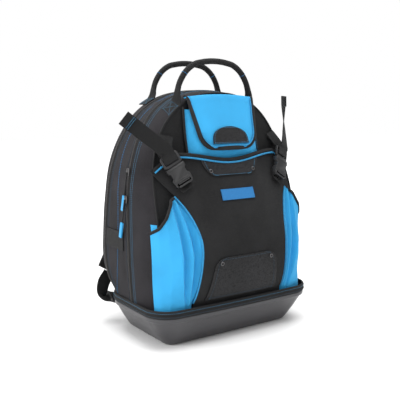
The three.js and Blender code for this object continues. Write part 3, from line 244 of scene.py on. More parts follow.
@dataclass(frozen=True)
class Ribbed(Finish):
    """Webbing or binding tape with ribs across its length, on the piece's UV map.

    Args:
        rib: pitch of the ribs in metres.
        relief: bump strength.
    """

    rib: float = 0.0016
    relief: float = 0.7

    def pattern(self, tree: Tree, shader: bpy.types.Node) -> None:
        """Builds slanted ribs with a fine cross weave, and a painted highlight that makes the rib tops paler
        than the grooves, broken up by fibre noise.

        Args:
            tree: tree of the material.
            shader: its shader node.
        """
        split = tree.add("ShaderNodeSeparateXYZ", Vector=tree.place("UV"))
        slant = tree.math("ADD", split.outputs[1], tree.math("MULTIPLY", split.outputs[0], 0.35))
        ribs = tree.math("SINE", tree.math("MULTIPLY", slant, 2 * math.pi / self.rib))
        fine = tree.math("SINE", tree.math("MULTIPLY", split.outputs[0], 2 * math.pi / (self.rib * 0.7)))
        height = tree.math("ADD", ribs, tree.math("MULTIPLY", fine, 0.4))
        fibre = tree.noise(240.0, 3.0)
        # Painted highlight: the colour goes paler on the raised rib tops and darker in the grooves, patchy
        # with fibre noise.
        top = tree.math("MULTIPLY", tree.ramp(height, -0.2, 1.3), tree.ramp(fibre, 0.3, 0.7))
        colour = tree.mix(tree.math("MULTIPLY", top, 0.6), self.tone(0.7), self.tone(2.1))
        tree.feed(shader.inputs["Base Color"], colour)
        tree.feed(shader.inputs["Roughness"], tree.ramp(fibre, -1.6, 1.1))
        self.bump(tree, shader, height, self.relief, 0.0003)


@dataclass(frozen=True)
class Moulded(Finish):
    """Moulded plastic with fine grain and faint rubbing marks, on Object coordinates.

    Args:
        grain: scale of the surface grain.
        relief: bump strength.
    """

    grain: float = 900.0
    relief: float = 0.25

    def pattern(self, tree: Tree, shader: bpy.types.Node) -> None:
        """Builds the grain, cloudy gloss and a few pale rub marks.

        Args:
            tree: tree of the material.
            shader: its shader node.
        """
        grain = tree.noise(self.grain, 2.0)
        patches = tree.noise(18.0, 4.0)
        rub = tree.ramp(patches, 0.56, 0.8)
        colour = tree.mix(tree.math("MULTIPLY", rub, 0.5), self.tone(1.0), self.tone(1.7))
        fine = tree.mix(tree.math("MULTIPLY", grain, 0.3), colour, self.tone(0.6))
        tree.feed(shader.inputs["Base Color"], fine)
        tree.feed(shader.inputs["Roughness"], tree.scaled(patches, 0.22, self.roughness - 0.11))
        self.bump(tree, shader, grain, self.relief, 0.0002)


@dataclass(frozen=True)
class Pebbled(Finish):
    """Coated reinforcement cloth with a pebbled face, on Object coordinates.

    Args:
        pebble: scale of the pebbles.
    """

    pebble: float = 520.0

    def pattern(self, tree: Tree, shader: bpy.types.Node) -> None:
        """Builds rounded pebbles, with painted shade that darkens the grooves between them.

        Args:
            tree: tree of the material.
            shader: its shader node.
        """
        cells = tree.add("ShaderNodeTexVoronoi", Vector=tree.place(), Scale=self.pebble).outputs["Distance"]
        height = tree.math("SUBTRACT", 1.0, cells)
        wear = tree.ramp(tree.noise(22.0, 3.0), 0.35, 0.7)
        worn = tree.mix(wear, self.tone(0.8), self.tone(1.35))
        # Painted shade: the colour darkens towards the grooves between the pebbles.
        colour = tree.mix(tree.ramp(cells, 0.35, 0.8), worn, self.tone(0.45))
        tree.feed(shader.inputs["Base Color"], colour)
        tree.feed(shader.inputs["Roughness"], tree.ramp(cells, -1.2, 1.1))
        self.bump(tree, shader, height, 0.5, 0.0003)


@dataclass(frozen=True)
class Metal(Finish):
    """Plain or plated metal with fine scratches.

    Args:
        scratch: scale of the scratches.
    """

    scratch: float = 700.0

    def pattern(self, tree: Tree, shader: bpy.types.Node) -> None:
        """Builds the metal with uneven gloss.

        Args:
            tree: tree of the material.
            shader: its shader node.
        """
        shader.inputs["Metallic"].default_value = 1.0
        stretch = tree.add("ShaderNodeMapping", Vector=tree.place())
        stretch.inputs["Scale"].default_value = (1.0, 1.0, 0.15)
        marks = tree.add("ShaderNodeTexNoise", Vector=stretch.outputs[0], Scale=self.scratch, Detail=2.0)
        colour = tree.mix(marks.outputs[0], self.tone(0.75), self.tone(1.25))
        tree.feed(shader.inputs["Base Color"], colour)
        tree.feed(shader.inputs["Roughness"], tree.scaled(marks.outputs[0], 0.25, self.roughness - 0.1))
        self.bump(tree, shader, marks.outputs[0], 0.1, 0.0001)


@dataclass(frozen=True)
class Thread(Finish):
    """Sewing thread with a twist, on Object coordinates."""

    def pattern(self, tree: Tree, shader: bpy.types.Node) -> None:
        """Builds a fine twisted pattern.

        Args:
            tree: tree of the material.
            shader: its shader node.
        """
        twist = tree.noise(1500.0, 1.0)
        colour = tree.mix(twist, self.tone(0.7), self.tone(1.3))
        tree.feed(shader.inputs["Base Color"], colour)
        self.bump(tree, shader, twist, 0.4, 0.0001)


@dataclass
class Wardrobe:
    """All the finishes of the backpack, built once."""

    made: dict[str, bpy.types.Material] = field(default_factory=dict)
    slots: dict[str, Slot] = field(default_factory=dict)

    def build(self) -> None:
        """Builds every finish."""
        finishes: dict[Slot, tuple[Finish, ...]] = {
            Slot.CLOTH: (
                Weave("gusset_cloth", (0.0145, 0.0133, 0.0155), 0.9, 0.05, 0.2, dust=0.5),
                Weave("panel_cloth", (0.0115, 0.0115, 0.012), 0.88, 0.04, 0.2, relief=0.8, dust=0.5),
                Weave("mesh_cloth", (0.009, 0.009, 0.0098), 0.95, 0.05, 0.15, thread=0.0032, relief=1.0),
            ),
            Slot.BLUE: (
                Weave("blue_cloth", (0.036, 0.345, 0.67), 0.8, 0.04, 0.2, mottle=0.08, dust=0.1),
                Weave(
                    "label_cloth", (0.018, 0.155, 0.385), 0.6, 0.02, 0.3,
                    thread=0.0007, relief=0.3, mottle=0.05,
                ),
                Ribbed("blue_piping", (0.03, 0.28, 0.58), 0.65, 0.04, 0.25, rib=0.0014, relief=0.4),
                Moulded("pull_rubber", (0.03, 0.31, 0.62), 0.45, 0.0, 0.35, relief=0.12),
                Thread("blue_thread", (0.05, 0.20, 0.34), 0.7, 0.05, 0.25),
                Thread("bright_thread", (0.02, 0.21, 0.50), 0.7, 0.05, 0.25),
                Thread("dull_thread", (0.03, 0.065, 0.10), 0.75, 0.05, 0.25),
            ),
            Slot.WEBBING: (
                Ribbed("black_webbing", (0.008, 0.008, 0.0085), 0.75, 0.04, 0.25),
                Ribbed("black_binding", (0.012, 0.012, 0.0125), 0.75, 0.04, 0.25, rib=0.0012, relief=0.5),
            ),
            Slot.TRAY: (Moulded("tray_plastic", (0.03, 0.029, 0.033), 0.36, 0.0, 0.6),),
            Slot.PLASTIC: (
                Moulded("buckle_plastic", (0.013, 0.013, 0.014), 0.38, 0.0, 0.5, relief=0.12),
            ),
            Slot.ZIP: (
                Moulded("coil_plastic", (0.022, 0.020, 0.019), 0.35, 0.0, 0.5, relief=0.1),
            ),
            Slot.PATCH: (Pebbled("patch_cloth", (0.0115, 0.0115, 0.013), 0.75, 0.04, 0.3),),
            Slot.METAL: (Metal("dark_steel", (0.10, 0.098, 0.1), 0.35, 0.0, 0.5),),
        }
        for slot, group in finishes.items():
            for finish in group:
                self.made[finish.name] = finish.build()
                self.slots[finish.name] = slot

    def __getitem__(self, name: str) -> bpy.types.Material:
        """The material of that name."""
        return self.made[name]


WARDROBE = Wardrobe()


# Shape tools, in millimetres


class Table:
    """Rows of shares read with a smooth curve, as the part's source does."""

    def __init__(self, keys: Sequence[float], **columns: Sequence[float]) -> None:
        """Keeps the keys and the columns."""
        self.keys = np.array(keys, float)
        self.columns = {name: np.array(values, float) for name, values in columns.items()}

    def read(self, column: str, at: Array | float) -> Array:
        """Reads a column.

        Args:
            column: name of the column.
            at: places on the key column.
        Returns:
            Smoothly interpolated values, constant past the ends.
        """
        keys, values = self.keys, self.columns[column]
        last = len(keys) - 1
        low = np.clip(np.arange(last + 1) - 1, 0, last)
        high = np.clip(np.arange(last + 1) + 1, 0, last)
        slopes = (values[high] - values[low]) / (keys[high] - keys[low])
        place = np.clip(np.asarray(at, float), keys[0], keys[-1])
        row = np.clip(np.searchsorted(keys, place, "right") - 1, 0, last - 1)
        span = keys[row + 1] - keys[row]
        s = (place - keys[row]) / span
        return (
            (2 * s**3 - 3 * s**2 + 1) * values[row]
            + (s**3 - 2 * s**2 + s) * span * slopes[row]
            + (3 * s**2 - 2 * s**3) * values[row + 1]
            + (s**3 - s**2) * span * slopes[row + 1]
        )


def shares(count: int) -> Array:
    """Evenly spaced shares from 0 to 1."""
    return np.linspace(0, 1, count)


def unit(vector: Iterable[float]) -> Array:
    """A vector made one unit long."""
    v = np.asarray(vector, float)
    return v / max(float(np.linalg.norm(v)), 1e-9)


def points(x: object, y: object, z: object) -> Array:
    """Stacks three coordinates, of any matching shapes, into points."""
    return np.stack(np.broadcast_arrays(np.asarray(x, float), np.asarray(y, float), np.asarray(z, float)), -1)


class Course:
    """Centripetal curve through points, as the part's straps and cords use."""

    def __init__(self, through: Sequence[Sequence[float]]) -> None:
        """Keeps the points."""
        self.p = np.array(through, float)

    def at(self, t: float) -> Array:
        """Point at a share t of the points.

        Args:
            t: share of the way, 0 to 1.
        Returns:
            The point.
        """
        p, last = self.p, len(self.p) - 1
        i = min(int(math.floor(t * last)), last - 1)
        w = t * last - i
        before = p[i - 1] if i > 0 else 2 * p[0] - p[1]
        after = p[i + 2] if i + 2 <= last else 2 * p[last] - p[last - 1]
        a, b = p[i], p[i + 1]
        gaps = [max(float(np.dot(d, d)) ** 0.25, 1e-4) for d in (a - before, b - a, after - b)]
        d0, d1, d2 = gaps
        t1 = ((a - before) / d0 - (b - before) / (d0 + d1) + (b - a) / d1) * d1
        t2 = ((b - a) / d1 - (after - a) / (d1 + d2) + (after - b) / d2) * d1
        return a + t1 * w + (-3 * a + 3 * b - 2 * t1 - t2) * w * w + (2 * a - 2 * b + t1 + t2) * w**3

    def tangent(self, t: float) -> Array:
        """Direction at a share t."""
        return unit(self.at(min(t + 1e-4, 1.0)) - self.at(max(t - 1e-4, 0.0)))

    def line(self, count: int, start: float = 0.0, end: float = 1.0) -> Array:
        """Points along the curve."""
        return np.array([self.at(start + (end - start) * i / count) for i in range(count + 1)])


def grid_normals(grid: Array) -> Array:
    """Unit normals of a grid of points, from its columns and rows."""
    across = np.gradient(grid, axis=1)
    along = np.gradient(grid, axis=0)
    normal = np.cross(across, along)
    length = np.linalg.norm(normal, axis=-1, keepdims=True)
    return normal / np.maximum(length, 1e-9)


def arc_uv(grid: Array) -> Array:
    """UV in metres from the mean spacing of a grid's columns and rows."""
    wide = np.linalg.norm(np.diff(grid, axis=1), axis=-1).mean(0)
    high = np.linalg.norm(np.diff(grid, axis=0), axis=-1).mean(1)
    u = np.concatenate([[0], np.cumsum(wide)]) * MM
    v = np.concatenate([[0], np.cumsum(high)]) * MM
    return np.stack(np.meshgrid(u, v), -1)


def plan_uv(grid: Array) -> Array:
    """UV in metres from X and Z, for a face that looks forwards or backwards."""
    return grid[..., [0, 2]] * MM


def cloud(grid: Array, size: float, seed: float) -> Array:
    """Smooth fixed noise, about -1 to 1, at each point of a grid."""
    flat = grid.reshape(-1, 3) / size + seed
    values = [noise.noise(Vector(p)) for p in flat]
    return np.array(values).reshape(grid.shape[:-1])


def edge_mask(grid: Array, rows: float = 0.12, columns: float = 0.08) -> Array:
    """Weights that fall to zero at a grid's borders, over these shares of its rows and columns."""
    v = shares(grid.shape[0])[:, None]
    u = shares(grid.shape[1])[None, :]
    tall = np.clip(np.minimum(v, 1 - v) / rows, 0, 1)
    wide = np.clip(np.minimum(u, 1 - u) / columns, 0, 1)
    return (tall * tall * (3 - 2 * tall)) * (wide * wide * (3 - 2 * wide))


def raised(grid: Array, distance: Array | float) -> Array:
    """A grid of points moved outwards along its normals, by one distance or one for each point."""
    return grid + grid_normals(grid) * np.asarray(distance)[..., None]


def blunt(value: float, power: float) -> float:
    """A sine or cosine raised to a power below one, which squares off a round section."""
    return math.copysign(abs(value) ** power, value)


def linked(name: str, data: bpy.types.ID) -> Piece:
    """A new object for some data, in the scene."""
    obj = bpy.data.objects.new(name, data)
    bpy.context.scene.collection.objects.link(obj)
    return obj


def finish_piece(obj: Piece, replaced: Sequence[str] = ()) -> Piece:
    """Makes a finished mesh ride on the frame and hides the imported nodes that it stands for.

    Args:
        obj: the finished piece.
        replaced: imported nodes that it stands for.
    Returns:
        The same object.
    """
    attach(obj, BODY)
    if replaced:
        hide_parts(*replaced)
    LOG.info("%s: %d faces", obj.name, len(obj.data.polygons))
    return obj


def mesh_object(
    name: str,
    vertices: Array,
    faces: Sequence[Sequence[int]],
    material: str,
    uv: Array | None = None,
    sharp: float = 42.0,
) -> Piece:
    """Makes an object from millimetre points.

    Args:
        name: name of the piece.
        vertices: points in millimetres.
        faces: vertex numbers of each face.
        material: name of the finish.
        uv: one UV pair for each vertex, or None.
        sharp: angle in degrees above which an edge stays sharp.
    Returns:
        The linked object with outward faces.
    """
    mesh = bpy.data.meshes.new(name)
    mesh.from_pydata((np.asarray(vertices) * MM).tolist(), [], [list(map(int, face)) for face in faces])
    if uv is not None:
        layer = mesh.uv_layers.new(name="UVMap")
        loops = np.zeros(len(mesh.loops), int)
        mesh.loops.foreach_get("vertex_index", loops)
        layer.data.foreach_set("uv", np.asarray(uv, float)[loops].ravel())
    build = bmesh.new()
    build.from_mesh(mesh)
    bmesh.ops.recalc_face_normals(build, faces=build.faces)
    build.to_mesh(mesh)
    build.free()
    mesh.materials.append(WARDROBE[material])
    mesh.polygons.foreach_set("use_smooth", [True] * len(mesh.polygons))
    mesh.set_sharp_from_angle(angle=math.radians(sharp))
    return linked(name, mesh)


def sheet(
    name: str,
    grid: Array,
    thickness: float,
    material: str,
    uv: Array | None = None,
    *,
    nodes: Sequence[str] = (),
) -> Piece:
    """A closed piece of cloth from the grid of its outer face, which looks along columns x rows.

    Args:
        name: name of the piece.
        grid: points of the outer face.
        thickness: thickness of the cloth.
        material: name of the finish.
        uv: UV pairs in metres, or None for the distances along the grid.
        nodes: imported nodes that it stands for.
    Returns:
        The finished piece.
    """
    rows, columns = grid.shape[:2]
    inner = grid - grid_normals(grid) * thickness
    count = rows * columns
    index = np.arange(count).reshape(rows, columns)
    faces: list[tuple[int, ...]] = []
    a, b, c, d = index[:-1, :-1], index[:-1, 1:], index[1:, 1:], index[1:, :-1]
    outer = np.stack([a, b, c, d], -1).reshape(-1, 4)
    faces.extend(map(tuple, outer))
    faces.extend(map(tuple, outer[:, ::-1] + count))
    rim = [*index[0, :], *index[1:, -1], *index[-1, -2::-1], *index[-2:0:-1, 0]]
    for here, after in zip(rim, rim[1:] + rim[:1]):
        faces.append((after, here, here + count, after + count))
    flat = arc_uv(grid) if uv is None else uv
    both = np.concatenate([flat.reshape(-1, 2)] * 2)
    vertices = np.concatenate([grid.reshape(-1, 3), inner.reshape(-1, 3)])
    piece = mesh_object(name, vertices, faces, material, both)
    return finish_piece(piece, nodes)


def skin(
    name: str,
    rings: Array,
    material: str,
    looped: bool = False,
    sharp: float = 42.0,
    *,
    slot: Slot | None = None,
    nodes: Sequence[str] = (),
) -> Piece:
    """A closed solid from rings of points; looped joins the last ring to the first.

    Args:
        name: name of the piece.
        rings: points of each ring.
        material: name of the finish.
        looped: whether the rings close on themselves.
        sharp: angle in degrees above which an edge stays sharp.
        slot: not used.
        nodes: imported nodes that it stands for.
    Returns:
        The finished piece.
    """
    rows, columns = rings.shape[:2]
    index = np.arange(rows * columns).reshape(rows, columns)
    faces: list[tuple[int, ...]] = []
    for row in range(rows if looped else rows - 1):
        here, after = index[row], index[(row + 1) % rows]
        for i in range(columns):
            j = (i + 1) % columns
            faces.append((here[i], here[j], after[j], after[i]))
    if not looped:
        faces.append(tuple(index[0][::-1]))
        faces.append(tuple(index[-1]))
    around = np.linalg.norm(np.diff(rings, axis=1, append=rings[:, :1]), axis=-1).mean(0)
    lengths = np.linalg.norm(np.diff(rings, axis=0), axis=-1).mean(1)
    u = np.concatenate([[0], np.cumsum(around)[:-1]]) * MM
    v = np.concatenate([[0], np.cumsum(lengths)]) * MM
    uv = np.stack(np.meshgrid(u, v), -1).reshape(-1, 2)
    piece = mesh_object(name, rings.reshape(-1, 3), faces, material, uv, sharp)
    return finish_piece(piece, nodes)


def cord_rings(path: Array, radius: float, sides: int = 10, looped: bool = False) -> Array:
    """Rings of a round cord along a path, turned as little as possible from one to the next.

    Args:
        path: middle line.
        radius: radius of the cord.
        sides: points of each ring.
        looped: whether the path closes.
    Returns:
        The rings.
    """
    count = len(path)
    if looped:
        along = [unit(path[(i + 1) % count] - path[i - 1]) for i in range(count)]
    else:
        along = [unit(path[min(i + 1, count - 1)] - path[max(i - 1, 0)]) for i in range(count)]
    side = unit(np.cross(along[0], (0.3, 0.2, 0.93)))
    angles = np.linspace(0, 2 * math.pi, sides, endpoint=False)
    rings = []
    for centre, ahead in zip(path, along):
        side = unit(side - ahead * np.dot(side, ahead))
        up = np.cross(ahead, side)
        rings.append([centre + radius * (math.cos(a) * side + math.sin(a) * up) for a in angles])
    return np.array(rings)


def cord_piece(
    name: str, path: Array, radius: float, material: str, looped: bool = False, **record: object
) -> Piece:
    """A round cord along a path, made by skin with the same keyword arguments."""
    return skin(name, cord_rings(path, radius, looped=looped), material, looped, 60.0, **record)


def strap_grid(course: Course, out: Turn, width: float, steps: int, columns: int = 6) -> Array:
    """Outer face of a flat strap along a course, looking towards out(share).

    Args:
        course: middle line.
        out: direction of the face at a share of the length.
        width: width of the strap.
        steps: rows of the grid.
        columns: columns of the grid.
    Returns:
        The grid of points.
    """
    rows = []
    for i in range(steps + 1):
        v = i / steps
        across = unit(np.cross(course.tangent(v), out(v)))
        centre = course.at(v)
        rows.append([centre + across * (k / columns - 0.5) * width for k in range(columns + 1)])
    return np.array(rows)


# Repeats along paths, made with geometry nodes


class Repeat(Enum):
    """What a path is set with."""

    STITCH = "stitch"
    TOOTH = "tooth"


@dataclass
class PathRepeat:
    """A node tree that sets small shapes along the edges of a mesh.

    Args:
        kind: stitches, which are small beads along the thread, or teeth, which lie across a zip.
    """

    kind: Repeat
    tree: bpy.types.NodeTree | None = None
    sockets: dict[str, str] = field(default_factory=dict)

    def build(self) -> None:
        """Builds the tree with inputs Spacing, Length, Breadth, Height and Finish."""
        tree = bpy.data.node_groups.new(f"{self.kind.value}_row", "GeometryNodeTree")
        face = tree.interface
        face.new_socket("Geometry", in_out="INPUT", socket_type="NodeSocketGeometry")
        face.new_socket("Geometry", in_out="OUTPUT", socket_type="NodeSocketGeometry")
        kinds = dict.fromkeys(("Spacing", "Length", "Breadth", "Height"), "Float") | {"Finish": "Material"}
        for name, kind in kinds.items():
            socket = face.new_socket(name, in_out="INPUT", socket_type=f"NodeSocket{kind}")
            self.sockets[name] = socket.identifier
        nodes = Tree(tree)
        given = nodes.add("NodeGroupInput").outputs
        curve = nodes.add("GeometryNodeMeshToCurve", in0=given["Geometry"]).outputs[0]
        pace = given["Spacing"]
        spaced = nodes.add("GeometryNodeResampleCurve", {"mode": "LENGTH"}, Curve=curve, Length=pace)
        tangent = nodes.add("GeometryNodeInputTangent").outputs[0]
        turn = nodes.add("FunctionNodeAlignEulerToVector", {"axis": "Z"}, Vector=tangent)
        if self.kind is Repeat.STITCH:
            order = ("Breadth", "Height", "Length")
            shape = nodes.add("GeometryNodeMeshUVSphere", Segments=6, Rings=4, Radius=0.5).outputs[0]
        else:
            order = ("Height", "Breadth", "Length")
            turn.pivot_axis = "Y"
            rod = nodes.add("GeometryNodeMeshCylinder", Vertices=6, Radius=0.5, Depth=1.0).outputs["Mesh"]
            lying = (math.pi / 2, 0.0, 0.0)
            shape = nodes.add("GeometryNodeTransform", Geometry=rod, Rotation=lying).outputs[0]
        scale = nodes.add("ShaderNodeCombineXYZ")
        for socket, name in zip(scale.inputs, order):
            nodes.feed(socket, given[name])
        instances = nodes.add(
            "GeometryNodeInstanceOnPoints",
            Points=spaced.outputs[0],
            Instance=shape,
            Rotation=turn.outputs[0],
            Scale=scale.outputs[0],
        )
        real = nodes.add("GeometryNodeRealizeInstances", in0=instances.outputs[0]).outputs[0]
        paint = nodes.add("GeometryNodeSetMaterial", Geometry=real, Material=given["Finish"])
        nodes.add("NodeGroupOutput", in0=paint.outputs[0])
        self.tree = tree

    def row(
        self,
        name: str,
        paths: Sequence[Array],
        material: str,
        slot: Slot,
        size: tuple[float, float, float, float],
    ) -> Piece:
        """Sets the shapes along paths and makes the result a plain piece.

        Args:
            name: name of the piece.
            paths: lines of points in millimetres.
            material: name of the finish.
            slot: not used.
            size: spacing, length, breadth and height in millimetres.
        Returns:
            The finished piece.
        """
        mesh = bpy.data.meshes.new(f"{name}_path")
        vertices: list[list[float]] = []
        edges: list[tuple[int, int]] = []
        for path in paths:
            start = len(vertices)
            vertices.extend((np.asarray(path) * MM).tolist())
            edges.extend((start + i, start + i + 1) for i in range(len(path) - 1))
        mesh.from_pydata(vertices, edges, [])
        guide = linked(f"{name}_path", mesh)
        modifier = guide.modifiers.new("row", "NODES")
        modifier.node_group = self.tree
        for key, value in zip(("Spacing", "Length", "Breadth", "Height"), size):
            modifier[self.sockets[key]] = value * MM
        modifier[self.sockets["Finish"]] = WARDROBE[material]
        graph = bpy.context.evaluated_depsgraph_get()
        made = bpy.data.meshes.new_from_object(guide.evaluated_get(graph))
        bpy.data.objects.remove(guide)
        made.name = name
        if not made.materials:
            made.materials.append(WARDROBE[material])
        made.polygons.foreach_set("use_smooth", [True] * len(made.polygons))
        return finish_piece(linked(name, made))


STITCHES = PathRepeat(Repeat.STITCH)
TEETH = PathRepeat(Repeat.TOOTH)
FINE_STITCH = (3.4, 2.5, 0.65, 0.6)
BOLD_STITCH = (4.4, 3.2, 0.9, 0.8)
TACK_STITCH = (2.6, 2.0, 0.5, 0.5)
RING_STITCH = (1.9, 1.7, 0.7, 0.6)


def sew(name: str, paths: Sequence[Array], thread: str, size: tuple[float, ...] = FINE_STITCH) -> None:
    """Sews lines of stitches as one piece."""
    STITCHES.row(name, paths, thread, Slot.BLUE, size)


# Form of the bag, in millimetres, as the part's source has it


@dataclass(frozen=True)
class BagForm:
    """Main sizes and surfaces of the bag.

    Args:
        base: height of the rim's upper face, where the cloth starts.
        top: height of the arch's crown.
        spring: height where the arch starts to turn in.
        power: roundness of the arch.
        half: half the body's width.
        depth_half: depth unit of the tables.
        front_inset: how far the front seam lies inside the sides.
        front_top_inset: the same at the crown.
        zip_half: half the zip's width, with its gap.
        binding: height of the ring on the rim.
        straight: share of the way up where the arch's side is straight.
        sections: lanes across the body as shares of the depth unit, by height as a share of top.
    """

    base: float = 58.3
    top: float = 435.0
    spring: float = 238.0
    power: float = 2.3
    half: float = 169.3
    depth_half: float = 105.3
    front_inset: float = 20.0
    front_top_inset: float = 5.0
    zip_half: float = 5.8
    binding: float = 13.0
    straight: float = 0.25
    sections: Table = Table(
        (0.133, 0.17, 0.22, 0.265, 0.333, 0.489, 0.587, 0.685, 0.813, 0.943, 1.0),
        back=(0.76, 0.77, 0.93, 0.98, 0.99, 0.905, 0.82, 0.763, 0.706, 0.678, 0.66),
        backZip=(0.36, 0.4, 0.6, 0.7, 0.75, 0.68, 0.6, 0.54, 0.47, 0.38, 0.34),
        frontZip=(-0.226, -0.2, -0.17, -0.15, -0.122, -0.104, -0.104, -0.113, -0.085, 0.02, 0.075),
        front=(-0.847, -0.847, -0.885, -0.88, -0.857, -0.753, -0.66, -0.537, -0.43, -0.385, -0.37),
        bulge=(0.13, 0.13, 0.13, 0.13, 0.13, 0.12, 0.113, 0.094, 0.065, 0.05, 0.045),
        corner=(0.54, 0.53, 0.36, 0.23, 0.18, 0.16, 0.15, 0.14, 0.13, 0.12, 0.12),
    )

    def lane(self, name: str, z: Array | float) -> Array:
        """Depth of a lane, such as a zip or a seam, at a height."""
        return self.depth_half * self.sections.read(name, np.asarray(z, float) / self.top)

    def half_width(self, z: Array | float, inset: float = 0.0, top_inset: float | None = None) -> Array:
        """Half the body's width at a height."""
        crown = self.top - (inset if top_inset is None else top_inset)
        rise = np.clip((np.asarray(z, float) - self.spring) / (crown - self.spring), 0, 1)
        return (self.half - inset) * (1 - rise**self.power) ** (1 / self.power)

    def arch(self, t: Array, inset: object = 0.0, top_inset: object = None) -> tuple[Array, Array]:
        """X and Z of the arch, from the left foot (0) over the top (0.5) to the right foot (1).

        Args:
            t: places along the arch.
            inset: distance inside the sides.
            top_inset: distance below the crown, or None for the same.
        Returns:
            X and Z of each place.
        """
        t = np.asarray(t, float)
        crown = self.top - np.asarray(inset if top_inset is None else top_inset)
        side = np.where(t < 0.5, -1.0, 1.0)
        climb = 1 - np.abs(2 * t - 1)
        angle = np.clip((climb - self.straight) / (1 - self.straight), 0, 1) * math.pi / 2
        power = 2 / self.power
        x = side * (self.half - inset) * np.clip(np.cos(angle), 0, 1) ** power
        low = self.base + (self.spring - self.base) * np.clip(climb / self.straight, 0, 1)
        high = self.spring + (crown - self.spring) * np.sin(angle) ** power
        return x, np.where(climb < self.straight, low, high)

    def draw(self, y: Array, z: Array) -> Array:
        """How far the gusset draws in between the front zip and the front seam, 0 to 1."""
        zip_lane = self.lane("frontZip", z)
        return np.clip((zip_lane - y) / (zip_lane - self.lane("front", z)), 0, 1) ** 2

    def back_inset(self, y: Array, z: Array) -> Array:
        """How far the rounded back edge lies inside the full width."""
        radius = self.lane("corner", z)
        reach = np.clip(y - (self.lane("back", z) - radius), 0, radius)
        return radius - np.sqrt(radius**2 - reach**2)

    def gusset(self, t: Array, depth: Lane, offset: float = 0.0) -> Array:
        """Points of the side and top gusset at places along the arch, raised by offset.

        Args:
            t: places along the arch.
            depth: Y for each height.
            offset: distance off the cloth.
        Returns:
            The points.
        """
        _, flat = self.arch(t)
        draw = self.draw(depth(flat), flat)
        edge = self.back_inset(depth(flat), flat) - offset
        x, z = self.arch(t, self.front_inset * draw + edge, self.front_top_inset * draw + edge)
        return points(x, depth(z), z)

    def seam_share(self, x: Array, z: Array) -> Array:
        """How far out a point of the front wall lies, from its foot's middle (0) to the seam (1).

        Args:
            x: places across.
            z: heights.
        Returns:
            The shares.
        """
        low, high = np.full(np.shape(x), 0.001), np.full(np.shape(x), 1.5)
        for _ in range(26):
            share = (low + high) / 2
            height = self.base + (z - self.base) / share
            reach = self.half_width(height, self.front_inset, self.front_top_inset)
            inside = np.abs(x / share) < reach
            high = np.where(inside, share, high)
            low = np.where(inside, low, share)
        return high

    def front_wall(self, x: object, z: object) -> Array:
        """Depth of the body's front wall."""
        x, z = np.broadcast_arrays(np.asarray(x, float), np.asarray(z, float))
        share = np.clip(self.seam_share(x, z), 0, 1)
        return self.lane("front", z) - self.lane("bulge", z) * (1 - share**4)


FORM = BagForm()


